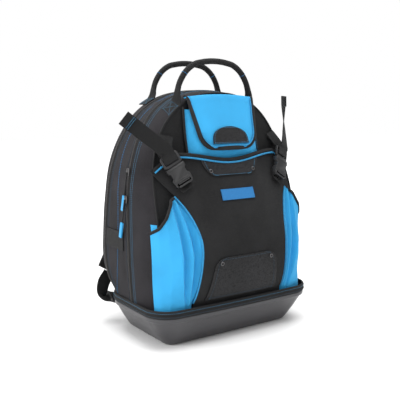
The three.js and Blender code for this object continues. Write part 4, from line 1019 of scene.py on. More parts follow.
@dataclass
class Shell:
    """The arched body: front and back walls, the gussets between the zips, their seams and stitches."""

    cloth: float = 2.4
    columns: int = 200
    seam_radius: float = 1.7

    def along(self) -> Array:
        """Places along the arch, one row of a grid."""
        return shares(self.columns + 1)

    def strip(self, first: Lane, last: Lane, rows: int, wave: float, seed: float) -> Array:
        """Grid of a gusset strip between two lanes, with soft waves in the cloth.

        Args:
            first: Y of the first lane for each height.
            last: Y of the last lane.
            rows: rows of the grid.
            wave: height of the waves.
            seed: start of the noise.
        Returns:
            The grid of points.
        """
        t = self.along()
        grid = np.array([
            FORM.gusset(t, lambda z, share=share: first(z) + (last(z) - first(z)) * share)
            for share in shares(rows + 1)
        ])
        lift = cloud(grid * (1.0, 1.0, 0.45), 26.0, seed) * wave * edge_mask(grid, 0.2, 0.02)
        return raised(grid, lift)

    def middle(self) -> None:
        """The cloth between the two zips."""
        grid = self.strip(
            lambda z: FORM.lane("frontZip", z) + FORM.zip_half,
            lambda z: FORM.lane("backZip", z) - FORM.zip_half,
            22,
            1.1,
            3.1,
        )
        sheet("middle_gusset_cloth", grid, self.cloth, "gusset_cloth", nodes=["middle_gusset"])

    def front(self) -> None:
        """The front gusset and the front wall, with the corded seam between them."""
        edge = FORM.zip_half
        grid = self.strip(
            lambda z: FORM.lane("front", z), lambda z: FORM.lane("frontZip", z) - edge, 20, 1.0, 8.3
        )
        sheet("front_gusset_cloth", grid, self.cloth, "gusset_cloth", nodes=["front_shell"])
        t = self.along()
        x, z = FORM.arch(t, FORM.front_inset, FORM.front_top_inset)
        rows = []
        for share in np.linspace(0.012, 1, 34):
            wide, high = x * share, FORM.base + (z - FORM.base) * share
            rows.append(points(wide, FORM.front_wall(wide, high), high))
        wall = np.array(rows)
        lift = cloud(wall, 55.0, 1.7) * 1.6 * edge_mask(wall, 0.15, 0.02)
        wall = raised(wall, lift)
        sheet("front_wall_cloth", wall, self.cloth, "panel_cloth", plan_uv(wall))
        seam = FORM.gusset(t, lambda high: FORM.lane("front", high) - 0.3, 0.4)
        cord_piece("front_seam_cord", seam, self.seam_radius, "black_binding")

    def back(self) -> None:
        """The padded back wall with its rounded edge, and the strip behind the back zip."""
        t = self.along()
        _, flat = FORM.arch(t)
        radius = FORM.lane("corner", flat)
        start = FORM.lane("backZip", flat) + FORM.zip_half
        begin = start + 0.9 - (FORM.lane("back", flat) - radius)
        first = np.arcsin(np.clip(begin / radius, 0, 0.9))
        rows = [FORM.gusset(t, lambda z: FORM.lane("backZip", z) + FORM.zip_half)]
        for share in shares(12):
            turn = first + (math.pi / 2 - first) * share
            x, z = FORM.arch(t, radius * (1 - np.cos(turn)))
            rows.append(points(x, FORM.lane("back", z) - radius * (1 - np.sin(turn)), z))
        rim = rows[-1]
        for share in np.linspace(0.97, 0.012, 30):
            x, z = rim[:, 0] * share, FORM.base + (rim[:, 2] - FORM.base) * share
            rows.append(points(x, FORM.lane("back", z), z))
        grid = np.array(rows)
        lift = cloud(grid, 60.0, 5.2) * 1.2 * edge_mask(grid, 0.1, 0.02)
        grid = raised(grid, lift)
        sheet("back_cloth", grid, self.cloth, "gusset_cloth", nodes=["back_cover"])
        cord = np.array(rows[12]) + (0, 0.6, 0)
        cord_piece("back_edge_cord", cord, self.seam_radius, "black_binding")

    def stitches(self) -> None:
        """The stitch lines along the seams and zips."""
        t = np.linspace(0.004, 0.996, 240)

        def line(depth: Lane) -> Array:
            """One line of stitches that stands a little off the cloth."""
            return FORM.gusset(t, depth, 0.35)

        single = Table((0.13, 0.5, 0.75, 1.0), y=(36.0, 25.0, 24.0, 20.0))
        middle = line(lambda z: single.read("y", z / FORM.top))
        sew("middle_seam_stitches", [middle], "bright_thread", BOLD_STITCH)
        front = FORM.zip_half + 3.0
        pairs = [line(lambda z, k=k: FORM.lane("frontZip", z) - front - k) for k in (0.0, 4.6)]
        sew("front_zip_stitches", pairs, "blue_thread", FINE_STITCH)
        rear = [line(lambda z, k=k: FORM.lane("backZip", z) - FORM.zip_half - 2.4 - k) for k in (0.0, 3.6)]
        ahead = [line(lambda z: FORM.lane("frontZip", z) + FORM.zip_half + 2.2)]
        sew("zip_edge_stitches", rear + ahead, "dull_thread")

    def build(self) -> None:
        """Builds the whole shell."""
        self.middle()
        self.front()
        self.back()
        self.stitches()


@dataclass
class Zips:
    """The two zips over the arch, each a raised tape with coil teeth."""

    proud: float = 0.9
    width: float = 11.0
    cloth: float = 2.4

    def build(self) -> None:
        """Builds the tapes and the teeth."""
        t = shares(201)
        for name, lane in (("front", "frontZip"), ("back", "backZip")):
            rows = []
            for share in shares(9):
                height = self.proud * (1 - abs(2 * share - 1)) ** 0.7
                across = (share - 0.5) * self.width
                rows.append(FORM.gusset(t, lambda z, a=across: FORM.lane(lane, z) + a, height))
            sheet(
                f"zip_tape_{name}", np.array(rows), self.cloth, "black_binding",
                nodes=[f"zip_{name}"],
            )
            fine = np.linspace(0.003, 0.997, 320)
            above = self.proud + 0.25
            paths = [FORM.gusset(fine, lambda z, k=k: FORM.lane(lane, z) + k, above) for k in (-1.3, 1.3)]
            TEETH.row(f"zip_teeth_{name}", paths, "coil_plastic", Slot.ZIP, (1.5, 1.05, 2.7, 1.1))


@dataclass(frozen=True)
class TrayForm:
    """Plan of the moulded tray from foot (0) to rim (1), in millimetres."""

    rim: tuple[float, float, float, float, float, float] = (172.5, 113.0, 87.0, 41.0, 63.0, 5.0)
    foot: tuple[float, float, float, float, float, float] = (136.0, 86.0, 75.0, 18.0, 33.0, 1.0)
    height: float = 58.0

    def outline(self, spread: float, inset: float, z: float, steps: int = 12, sides: int = 16) -> Array:
        """Closed outline at a spread, moved inwards by inset, at a height.

        Args:
            spread: 0 at the foot and 1 at the rim.
            inset: distance inside the outline.
            z: height.
            steps: points of each corner.
            sides: points of each side.
        Returns:
            The points.
        """
        mixed = [f + (r - f) * spread for f, r in zip(self.foot, self.rim)]
        half, front, back = (value - inset for value in mixed[:3])
        front_radius, back_radius = (max(value - inset, 1.0) for value in mixed[3:5])
        corners = (
            (1, -front, -90, front_radius),
            (1, back, 0, back_radius),
            (-1, back, 90, back_radius),
            (-1, -front, 180, front_radius),
        )

        def corner(spec: tuple[int, float, float, float], share: float) -> Array:
            """Point of a rounded corner at a share of its quarter turn."""
            side, depth, start, radius = spec
            angle = math.radians(start + 90 * share)
            x = side * (half - radius) + radius * math.cos(angle)
            y = depth - math.copysign(radius, depth) + radius * math.sin(angle)
            return np.array([x, y, z])

        line: list[Array] = []
        for i, spec in enumerate(corners):
            line.extend(corner(spec, k / steps) for k in range(steps + 1))
            first, last = corner(spec, 1), corner(corners[(i + 1) % 4], 0)
            line.extend(first + (last - first) * k / sides for k in range(1, sides))
        plan = np.array(line)
        bow = np.maximum(-plan[:, 1] / front, 0) * (1 - (plan[:, 0] / half) ** 2)
        plan[:, 1] -= mixed[5] * bow
        return plan


TRAY = TrayForm()


@dataclass
class Tray:
    """The moulded tray and the cloth ring on its rim."""

    wall: float = 4.0
    ledge: float = 11.0
    lip: float = 1.2
    ring_wall: float = 3.2

    def shell(self) -> None:
        """The tray, with rounded foot edge, rim bead and ledge."""
        profile = (
            (0.0, 0.0, 6.0), (0.012, 0.0, 3.4), (0.035, 0.01, 1.4), (0.07, 0.04, 0.3), (0.11, 0.09, 0.0),
            (0.45, 0.47, -0.3), (0.83, 0.87, 0.0), (0.855, 0.93, 0.3), (0.87, 0.985, 0.5), (0.89, 1.0, 0.15),
            (0.93, 1.0, 0.0), (0.985, 1.0, 0.05), (1.0, 1.0, 0.8), (1.0, 1.0, self.ledge),
            (0.84, 0.88, self.wall), (0.13, 0.1, self.wall), (0.056, 0.01, self.wall * 1.6),
        )
        rings = np.array([TRAY.outline(spread, inset, rise * TRAY.height) for rise, spread, inset in profile])
        skin("tray_shell", rings, "tray_plastic", sharp=35.0, nodes=["base_tray"])

    def ring(self) -> None:
        """The bound cloth ring, a lower roll and an upper band with its stitches."""
        low, high = FORM.base, FORM.base + FORM.binding
        section = (
            (self.ring_wall - self.lip, low), (-self.lip + 0.9, low), (-self.lip - 0.2, low + 1.2),
            (-self.lip - 0.6, low + 3.2), (-self.lip - 0.2, low + 5.2), (-self.lip + 0.5, low + 6.0),
            (-self.lip + 0.1, low + 6.9), (-self.lip - 0.2, low + 9.2), (-self.lip + 0.2, high - 1.4),
            (-self.lip + 1.1, high - 0.2), (self.ring_wall - self.lip, high),
        )
        rings = np.array([TRAY.outline(1, inset, z) for inset, z in section])
        skin("rim_ring", rings, "black_binding", looped=True, sharp=60.0, nodes=["rim_binding"])
        paths = []
        for inset, z in ((-self.lip - 0.75, low + 3.0), (-self.lip - 0.35, low + 9.4)):
            outline = TRAY.outline(1, inset, z)
            paths.append(np.concatenate([outline, outline[:1]]))
        sew("rim_stitches", paths[:1], "dull_thread")
        sew("rim_upper_stitches", paths[1:], "blue_thread")

    def build(self) -> None:
        """Builds tray and ring."""
        self.shell()
        self.ring()


# Front pouch, flap and pockets


def rounded_width(v: Array, height: float, radius: float, start: float, end: float) -> Array:
    """Half width of a piece from start to end, with rounded corners of a radius where v is 0."""
    distance = np.asarray(v, float) * height
    width = start + (end - start) * np.asarray(v, float)
    cut = radius - np.sqrt(np.maximum(radius**2 - np.clip(radius - distance, 0, radius) ** 2, 0))
    return width - cut


def spread(place: Place, columns: int, rows: int) -> Array:
    """Grid of a surface, its rows along v and its columns along u."""
    u, v = np.meshgrid(shares(columns + 1), shares(rows + 1))
    return place(u, v)


def on_side(side: int, place: Place) -> Place:
    """The right side's surface on the given side, its columns kept in outward order.

    Args:
        side: 1 for the right and -1 for the left.
        place: the right side's surface.
    Returns:
        The surface.
    """

    def mirrored_place(u: Array, v: Array) -> Array:
        """The surface, mirrored where the side is the left."""
        grid = place(u if side > 0 else 1 - u, v)
        return grid * (side, 1, 1)

    return mirrored_place


@dataclass(frozen=True)
class PouchForm:
    """Outer face of the front pouch wall, in millimetres."""

    top: float = 318.0
    shoulder_rise: float = 12.0
    ear_drop: float = 18.0
    shoulder: float = 0.68
    half: float = 152.0
    sweep: float = 24.0
    binding: float = 6.0
    piping: float = 3.2
    sections: Table = Table(
        (0.18, 0.232, 0.28, 0.346, 0.453, 0.566, 0.66, 0.805, 0.93, 1.0, 1.06),
        depth=(1.035, 1.035, 1.12, 1.18, 1.22, 1.21, 1.13, 0.965, 0.8, 0.74, 0.7),
        sweep=(0.34, 0.4, 0.5, 0.4, 0.2, 0.15, 0.45, 1.0, 1.0, 1.0, 1.0),
    )
    outline: Table = Table(
        (0.0, 0.15, 0.35, 0.5, 0.6, 0.7, 0.78, 0.85, 0.92, 1.0),
        width=(0.645, 0.625, 0.598, 0.592, 0.615, 0.665, 0.73, 0.81, 0.9, 1.0),
    )

    def edge(self, x: Array) -> Array:
        """Height of the pouch wall's top edge."""
        share = np.clip(np.abs(x) / self.half, 0, 1)
        middle = self.top + self.shoulder_rise * (1 - np.cos(math.pi * share / self.shoulder)) / 2
        fall = np.clip((share - self.shoulder) / (1 - self.shoulder), 0, 1) ** 1.4
        ear = self.top + self.shoulder_rise - (self.shoulder_rise + self.ear_drop) * fall
        return np.where(share < self.shoulder, middle, ear)

    def wall(self, x: object, z: object) -> Array:
        """Depth of the wall."""
        share = np.asarray(z, float) / self.top
        depth = FORM.depth_half * self.sections.read("depth", share)
        back = self.sweep * self.sections.read("sweep", share)
        return -depth + back * np.clip(np.abs(x) / self.half, 0, 1) ** 2.4

    def point(self, x: object, z: object) -> Array:
        """Point of the wall at a place and a height."""
        return points(x, self.wall(x, z), z)

    def place(self, u: Array, v: Array) -> Array:
        """Point of the wall over its own outline."""
        across = 2 * np.asarray(u, float) - 1
        z = FORM.base + (self.edge(self.half * across) - FORM.base) * v
        return self.point(self.half * self.outline.read("width", v) * across, z)


POUCH = PouchForm()


@dataclass
class FrontPouch:
    """The front pouch wall with its binding, piping, patches, label and eyelets."""

    cloth: float = 2.4
    patch: float = 1.3
    seat: float = 0.6
    upper_drop: float = 30.0
    upper_halves: tuple[float, float] = (51.0, 62.0)
    upper_corner: float = 14.0
    lower_top: float = 153.0
    lower_halves: tuple[float, float] = (65.0, 78.0)
    lower_corner: float = 18.0
    label_size: Spot = (70.0, 18.0, 256.0)
    eyelets: tuple[tuple[float, float], ...] = ((-46.0, 296.0), (46.0, 296.0), (-54.0, 144.0), (54.0, 144.0))

    def wall(self) -> None:
        """The wall, with shallow dents between the sewn pieces."""
        grid = spread(POUCH.place, 96, 84)
        x, z = grid[..., 0], grid[..., 2]
        dents = cloud(grid * (1.0, 1.0, 0.7), 34.0, 12.4) * 1.3
        puckers = np.sin(x / 5.2 + 3 * np.sin(z / 17)) * 0.35 * np.exp(-(((z - 268) / 9) ** 2))
        cover = np.exp(-(((z - 256) / 30) ** 4)) * (np.abs(x) < 60)
        lift = (dents * (1 - 0.8 * cover) + puckers) * edge_mask(grid, 0.12, 0.1) - 0.35
        grid = raised(grid, lift)
        sheet(
            "front_panel_cloth", grid, self.cloth - 0.4, "panel_cloth", plan_uv(grid), nodes=["front_panel"],
        )

    def edges(self) -> None:
        """Binding along the top edge, blue piping below it and down both sides."""
        across = np.linspace(-1, 1, 121)
        rows = []
        for share, lift in ((0.0, 1.0), (0.12, 1.9), (0.5, 2.1), (0.88, 1.9), (1.0, 1.3)):
            x = POUCH.half * 0.97 * across
            z = POUCH.edge(x) - POUCH.binding * (1 - share)
            rows.append(POUCH.point(x, z) - points(0, lift, 0))
        sheet("panel_top_binding", np.array(rows), self.patch, "black_binding", nodes=["panel_binding"])
        x = POUCH.half * 0.955 * across
        z = POUCH.edge(x) - POUCH.binding - POUCH.piping / 2 - 0.3
        path = POUCH.point(x, z) - points(0, POUCH.piping / 2 + 0.6, 0)
        cord_piece("panel_piping_cord", path, POUCH.piping / 2, "blue_piping", nodes=["panel_piping_top"])
        for name, side in SIDES.items():
            v = 0.075 + 0.76 * shares(61)
            rim = POUCH.place(np.ones_like(v), v)
            ahead = np.gradient(rim, axis=0)
            out = np.stack([ahead[:, 2], np.zeros(len(v)), -ahead[:, 0]], -1)
            out /= np.linalg.norm(out, axis=1, keepdims=True)
            line = (rim + out * (POUCH.piping / 2 + 0.6) - (0, 0.6, 0)) * (side, 1, 1)
            cord_piece(
                f"panel_side_piping_{name}", line, POUCH.piping / 2, "blue_piping",
                nodes=[f"panel_piping_{name}"],
            )

    def upper_place(self, u: Array, v: Array) -> Array:
        """Face of the upper patch.

        Args:
            u: share across.
            v: share up.
        Returns:
            The points.
        """
        low = POUCH.top - self.upper_drop
        gap = POUCH.binding + POUCH.piping + 0.9
        rise = v**1.5
        half = rounded_width(rise, POUCH.top - gap - low, self.upper_corner, *self.upper_halves)
        x = half * (2 * u - 1)
        return POUCH.point(x, low + (POUCH.edge(x) - gap - low) * rise)

    def lower_place(self, u: Array, v: Array) -> Array:
        """Face of the lower patch."""
        low, top = FORM.base + FORM.binding * 1.6, self.lower_top
        rise = 1 - (1 - v) ** 1.6
        x = rounded_width(1 - rise, top - low, self.lower_corner, *self.lower_halves) * (2 * u - 1)
        return POUCH.point(x, low + (top - low) * rise)

    def patches(self) -> None:
        """The two reinforcement patches with stitched outlines."""
        for name, place in (("upper", self.upper_place), ("lower", self.lower_place)):
            grid = raised(spread(place, 48, 32), self.seat + self.patch)
            sheet(f"{name}_patch_cloth", grid, self.patch, "patch_cloth", nodes=[f"{name}_patch"])
            above = raised(spread(place, 60, 60), self.seat + self.patch + 0.3)
            side = [above[:, 3], above[:, -4]]
            ends = [above[8, 3:-3]] if name == "upper" else [above[-9, 3:-3], above[2, 3:-3]]
            sew(f"{name}_patch_stitches", side + ends, "blue_thread" if name == "upper" else "dull_thread")

    def label(self) -> None:
        """The bare label with its stitched edge."""
        width, height, middle = self.label_size

        def place(u: Array, v: Array) -> Array:
            """Face of the label."""
            return POUCH.point((u - 0.5) * width, middle + (v - 0.5) * height)

        grid = raised(spread(place, 30, 10), self.seat + self.patch)
        sheet("label_cloth_tab", grid, self.patch, "label_cloth", nodes=["label"])
        above = raised(spread(place, 40, 20), self.seat + self.patch + 0.15)
        sew("label_stitches", [above[1, 1:-1], above[-2, 1:-1]], "bright_thread", (2.4, 1.8, 0.5, 0.5))

    def eyelet(self, index: int, x: float, z: float) -> None:
        """A turned ring with a rolled edge, set on its patch, and a dark disc in its hole as painted shade.

        Args:
            index: number of the eyelet.
            x: place across.
            z: height.
        """
        base, beside, above = POUCH.point(x, z), POUCH.point(x + 1, z), POUCH.point(x, z + 1)
        out = unit(np.cross(beside - base, above - base))
        across, up = unit(beside - base), unit(above - base)
        centre = base + out * (self.seat * 2 + self.patch)
        profile = ((1.9, 0.1), (1.7, 0.9), (2.0, 1.5), (2.7, 1.6), (3.4, 1.25), (3.8, 0.6), (3.8, 0.1))
        angles = np.linspace(0, 2 * math.pi, 28, endpoint=False)

        def turned(section: Sequence[tuple[float, float]]) -> Array:
            """Rings of radius and height around the eyelet's axis."""
            around = [math.cos(a) * across + math.sin(a) * up for a in angles]
            return np.array([[centre + r * way + h * out for way in around] for r, h in section])

        skin(
            f"eyelet_ring_{index}", turned(profile), "dark_steel", looped=True, sharp=70.0,
            nodes=[f"eyelet_{index}"],
        )
        # Painted shade: a dark disc fills the hole and stands in for the shade inside it.
        hole_shade = turned(((1.95, 0.1), (1.95, 0.4)))
        skin(f"eyelet_hole_shade_{index}", hole_shade, "black_webbing", slot=Slot.METAL)

    def build(self) -> None:
        """Builds the pouch."""
        self.wall()
        self.edges()
        self.patches()
        self.label()
        for index, (x, z) in enumerate(self.eyelets, 1):
            self.eyelet(index, x, z)


@dataclass
class Flap:
    """The blue flap over the top pocket, its edge, piping and grip patch."""

    top: float = 421.0
    bottom: float = 335.0
    half: float = 71.0
    foot_half: float = 57.0
    corner: float = 24.0
    crown: float = 5.0
    cloth: float = 2.4
    patch: Spot = (76.0, 29.0, 343.0)
    sections: Table = Table(
        (0.0, 0.3, 0.55, 0.8, 0.92, 1.0),
        height=(0.0, 0.32, 0.59, 0.87, 1.03, 1.02),
        depth=(0.785, 0.715, 0.63, 0.545, 0.49, 0.405),
    )
    by_height: Table = Table((0.0, 0.32, 0.59, 0.87, 1.03), depth=(0.785, 0.715, 0.63, 0.545, 0.49))

    def place(self, u: Array, v: Array) -> Array:
        """Outer face, from the free edge to the hinge.

        Args:
            u: share across.
            v: share up.
        Returns:
            The points.
        """
        rise = np.asarray(v, float) ** 1.35
        height = self.top - self.bottom
        across = 2 * np.asarray(u, float) - 1
        z = self.bottom + height * self.sections.read("height", rise)
        x = rounded_width(rise, height, self.corner, self.foot_half, self.half) * across
        y = -FORM.depth_half * self.sections.read("depth", rise) + 5 * across**4
        return points(x, y, z + self.crown * (1 - across**2) * rise**2)

    def build(self) -> None:
        """Builds the flap and what is sewn on it."""
        grid = spread(self.place, 64, 60)
        lift = cloud(grid, 30.0, 21.0) * 0.7 * edge_mask(grid, 0.1, 0.1) - 0.2
        grid = raised(grid, lift)
        cloth = sheet("flap_cloth", grid, self.cloth - 0.3, "blue_cloth", nodes=["flap"])
        self.edge()
        self.grip()
        stitch = raised(spread(self.place, 60, 60), 0.35)
        path = np.concatenate([stitch[::-1, 2], stitch[2, 3:-3], stitch[:, -3]])
        sew("flap_stitches", [path], "bright_thread")

    def edge(self) -> None:
        """Black edge outside, blue piping inside it."""
        v = np.linspace(0, 0.985, 50)
        left = self.place(np.zeros_like(v), v)[::-1]
        foot = self.place(shares(31)[1:-1], np.zeros(29))
        right = self.place(np.ones_like(v), v)
        path = np.concatenate([left, foot, right])
        centre = np.stack([np.zeros(len(path)), path[:, 1], np.full(len(path), self.bottom + 51.6)], -1)
        out = path - centre
        out[:, 1] = 0
        out /= np.linalg.norm(out, axis=1, keepdims=True)
        section = (
            (2.2, 2.6), (3.4, 1.4), (3.7, 0.1), (3.2, -1.2),
            (1.6, -2.0), (-1.4, -1.9), (-4.0, -1.3), (-4.3, 0.2),
        )
        rings = np.array([path + out * reach + (0, depth, 0) for reach, depth in section]).transpose(1, 0, 2)
        skin("flap_edge", rings, "black_binding", sharp=60.0, nodes=["flap_binding"])
        blue = (path - out * 4.9)[30:-2]
        share = np.clip((blue[:, 2] - self.bottom) / (self.top - self.bottom), 0, 1.03)
        across = blue[:, 0] / (self.foot_half + (self.half - self.foot_half) * share)
        blue[:, 1] = 5 * across**4 - FORM.depth_half * self.by_height.read("depth", share) - 1.4
        cord_piece("flap_piping", blue, 1.2, "blue_piping")

    def grip(self) -> None:
        """Half-round grip patch with a stitched edge."""
        width, height, low = self.patch

        def place(u: Array, v: Array) -> Array:
            """Face of the grip patch.

            Args:
                u: share across.
                v: share up.
            Returns:
                The points.
            """
            across = 2 * u - 1
            half = width / 2 * np.sqrt(np.maximum(1 - (v**1.6) ** 2, 0.02))
            z = low + height * v
            share = (z - self.bottom) / (self.top - self.bottom)
            y = -FORM.depth_half * self.by_height.read("depth", share) - 1.0
            return points(half * across, y, z)

        grid = raised(spread(place, 40, 30), 1.4)
        sheet("flap_grip_patch", grid, 1.3, "patch_cloth", nodes=["flap_patch"])
        above = raised(spread(place, 60, 40), 1.7)
        loop = np.concatenate([above[2:-3, 2], above[-4, 3:-3], above[-4:1:-1, -3], above[2, -3:2:-1]])
        sew("flap_patch_stitches", [loop], "blue_thread")


@dataclass
class TopPocket:
    """The blue pocket under the flap."""

    bottom: float = 300.0
    top: float = 402.0
    rear: float = 76.0
    front: float = 57.0
    cloth: float = 2.4
    sections: Table = Table((0.0, 0.2, 0.42, 0.58, 0.8, 1.0), depth=(0.69, 0.675, 0.67, 0.63, 0.56, 0.5))

    def build(self) -> None:
        """Builds the pocket and the bindings of its rear edges."""
        middle = (self.rear + self.front) / 2
        half = ((self.rear, 0.0), (middle, 0.62), (self.front, 0.97), (self.front / 2, 1.0))
        left = [(-x, out, 0.0) for x, out in half]
        plan = Course(left + [(0.0, 1.0, 0.0)] + [(-x, out, y) for x, out, y in left[::-1]]).line(64)
        rows = []
        for v in shares(41):
            z = self.bottom + (self.top - self.bottom) * v
            rear = FORM.front_wall(plan[:, 0], np.full(len(plan), z)) - 4.2
            front = -FORM.depth_half * float(self.sections.read("depth", v))
            y = np.minimum(rear + (front - rear) * np.clip(plan[:, 1], 0, 1), rear)
            rows.append(points(plan[:, 0], y, z))
        grid = np.array(rows)
        lift = cloud(grid, 20.0, 31.0) * 0.9 * edge_mask(grid, 0.1, 0.1) - 0.2
        grid = raised(grid, lift)
        sheet("top_pocket_cloth", grid, self.cloth - 0.3, "blue_cloth", nodes=["top_pocket"])
        for name, side in SIDES.items():
            z = np.linspace(self.bottom + 14, self.top + 4, 50)
            x = np.full_like(z, side * (self.rear + 1.6))
            path = points(x, FORM.front_wall(x, z) - 4.6, z)
            cord_piece(f"top_pocket_edge_{name}", path, 2.2, "black_binding")
            sew(f"top_pocket_stitches_{name}", [path[6:-4] - (side * 1.2, 1.9, 0)], "blue_thread")


@dataclass
class SidePockets:
    """The two pleated side pockets, their mouths and the flat pockets inside them."""

    rear_top: float = 196.0
    front_top: float = 260.0
    cloth: float = 1.8
    reach: float = 7 / 6
    binding: float = 2.7
    inner_rise: float = 16.0
    inner_height: float = 60.0
    folds: Table = Table(
        tuple(i / 6 for i in range(7)),
        footX=(0.953, 0.91, 0.83, 0.69, 0.665, 0.635, 0.61),
        footY=(0.8, 0.89, 0.98, 1.02, 0.995, 1.02, 1.0),
        midX=(0.95, 0.895, 0.825, 0.745, 0.705, 0.635, 0.595),
        midY=(0.74, 0.88, 1.03, 1.145, 1.055, 1.175, 1.09),
        topX=(0.96, 0.91, 0.855, 0.79, 0.765, 0.74, 0.72),
        topY=(0.72, 0.86, 0.94, 0.9, 0.84, 0.87, 0.8),
        mouth=(0.0, 0.14, 0.42, 0.76, 0.84, 0.92, 0.97),
    )

    def place(self, u: Array, v: Array) -> Array:
        """Outer face, u from the gusset to the pouch wall and v from the foot to the mouth.

        Args:
            u: share across.
            v: share up.
        Returns:
            The points.
        """
        wide, v = np.asarray(u, float) * self.reach, np.asarray(v, float)
        u = np.clip(wide, 0, 1)

        def read(column: str) -> Array:
            """Reads the folds, mostly straight between them so that their edges stay crisp."""
            crisp = np.interp(u, self.folds.keys, self.folds.columns[column])
            return 0.7 * crisp + 0.3 * self.folds.read(column, u)

        mouth = self.rear_top + (self.front_top - self.rear_top) * read("mouth")
        free = FORM.base + FORM.binding + 0.9
        first = 1 / 9
        rise = np.clip((v - first) / (1 - first), 0, None)
        z = np.where(v < first, FORM.base + (free - FORM.base) * v / first, free + (mouth - free) * rise)
        low = np.sin(np.clip(rise / 0.5, 0, 1) * math.pi / 2)
        high = np.clip((rise - 0.4) / 0.6, 0, None) ** 2

        def bend(key: str) -> Array:
            """Share of the foot, middle and top sections at this height."""
            foot, middle, top = (read(level + key) for level in ("foot", "mid", "top"))
            return foot + (middle - foot) * low + (top - middle) * high

        fold = points(FORM.half * bend("X"), -FORM.depth_half * bend("Y"), z)
        rise = np.clip((z - FORM.base) / (POUCH.edge(POUCH.half) - FORM.base), 0.02, 1)
        rim = POUCH.place(np.ones_like(z), rise) + (1.6, 3.6, 0)
        return fold + (rim - fold) * np.clip((wide - 1) / (self.reach - 1), 0, 1)[..., None]

    def creases(self, grid: Array) -> Array:
        """Slack folds of the cloth, deepest in the upper half and across the foot.

        Args:
            grid: the outer face.
        Returns:
            How far each point moves out.
        """
        u = shares(grid.shape[1])[None, :]
        v = shares(grid.shape[0])[:, None]
        slant = np.sin(9.5 * v + 5.5 * u + 1.1 * np.sin(6 * u)) * np.exp(-(((v - 0.72) / 0.22) ** 2))
        foot = np.sin(26 * v - 4 * u) * np.exp(-(((v - 0.2) / 0.09) ** 2)) * 0.7
        loose = cloud(grid, 17.0, 41.0)
        return 0.3 + (0.9 * slant + 0.5 * foot + 0.9 * loose) * edge_mask(grid, 0.14, 0.2)

    def build(self) -> None:
        """Builds both sides."""
        for name, side in SIDES.items():
            flat = on_side(side, lambda u, v: self.place(1 - u, v))
            grid = spread(flat, 72, 84)
            grid = raised(grid, self.creases(grid))
            sheet(
                f"side_pocket_cloth_{name}", grid, self.cloth - 0.3, "blue_cloth",
                nodes=[f"side_pocket_{name}"],
            )
            u = np.linspace(0, 5 / 7, 60)
            mouth = self.place(u, np.ones_like(u)) * (side, 1, 1) + (0, 0, 3.2)
            cord_piece(
                f"side_pocket_binding_{name}", mouth, self.binding, "black_binding",
                nodes=[f"pocket_binding_{name}"],
            )
            shadow = raised(spread(flat, 60, 60), 0.2)
            sew(f"side_pocket_stitches_{name}", [shadow[-4, 2:-2] + (0, 0, -1.0)], "bright_thread")
            self.inner(name, side)

    def inner(self, name: str, side: int) -> None:
        """The flat inner pocket.

        Args:
            name: left or right.
            side: -1 or 1.
        """

        def place(u: Array, v: Array) -> Array:
            """Face of the inner pocket."""
            z = self.rear_top + self.inner_rise - self.inner_height * (1 - v)
            y = FORM.lane("front", z) + 12 - 11 * (1 - u)
            x = FORM.half_width(z) - FORM.front_inset * FORM.draw(y, z) + 1.5
            return points(x, y, z)

        grid = spread(on_side(side, place), 12, 24)
        sheet(f"inner_pocket_cloth_{name}", grid, 1.2, "blue_cloth", nodes=[f"inner_pocket_{name}"])


# Webbing, handles, buckles and shoulder straps


@dataclass(frozen=True)
class Fitting:
    """Frame of a strap fitting on the left side: its middle and three directions."""

    middle: Array
    along: Array
    across: Array
    out: Array

    @classmethod
    def make(cls, middle: Sequence[float], along: Sequence[float], face: Sequence[float]) -> "Fitting":
        """Makes the frame from its middle, its run and the way its face looks."""
        across = unit(np.cross(along, face))
        return cls(np.array(middle, float), unit(along), across, unit(np.cross(across, along)))

    def at(self, side: int, across: float, out: float, along: float) -> Array:
        """Point in the frame, on the given side of the bag."""
        spot = self.middle + self.across * across + self.out * out + self.along * along
        return spot * (-side, 1, 1)

    def facing(self, side: int) -> Array:
        """Direction of the face on the given side."""
        return self.out * (-side, 1, 1)


BUCKLE = Fitting.make(
    (-POUCH.half * 0.77, -FORM.depth_half * 0.75, POUCH.top - 9), (-0.4, 0.34, 0.85), (-0.3, -0.92, 0.23)
)
ADJUSTER = Fitting.make((-136, 97, TRAY.height * 0.68), (-0.9, 0, 0.44), (-0.4, 0.3, -0.82))


def smooth_step(value: float, low: float, high: float) -> float:
    """Smooth rise from 0 to 1 between two values."""
    share = min(max((value - low) / (high - low), 0.0), 1.0)
    return share * share * (3 - 2 * share)


def turning(first: Array, last: Array, low: float, high: float) -> Turn:
    """Direction that turns from one to another between two shares of a length."""
    return lambda v: unit(first + (last - first) * smooth_step(v, low, high))


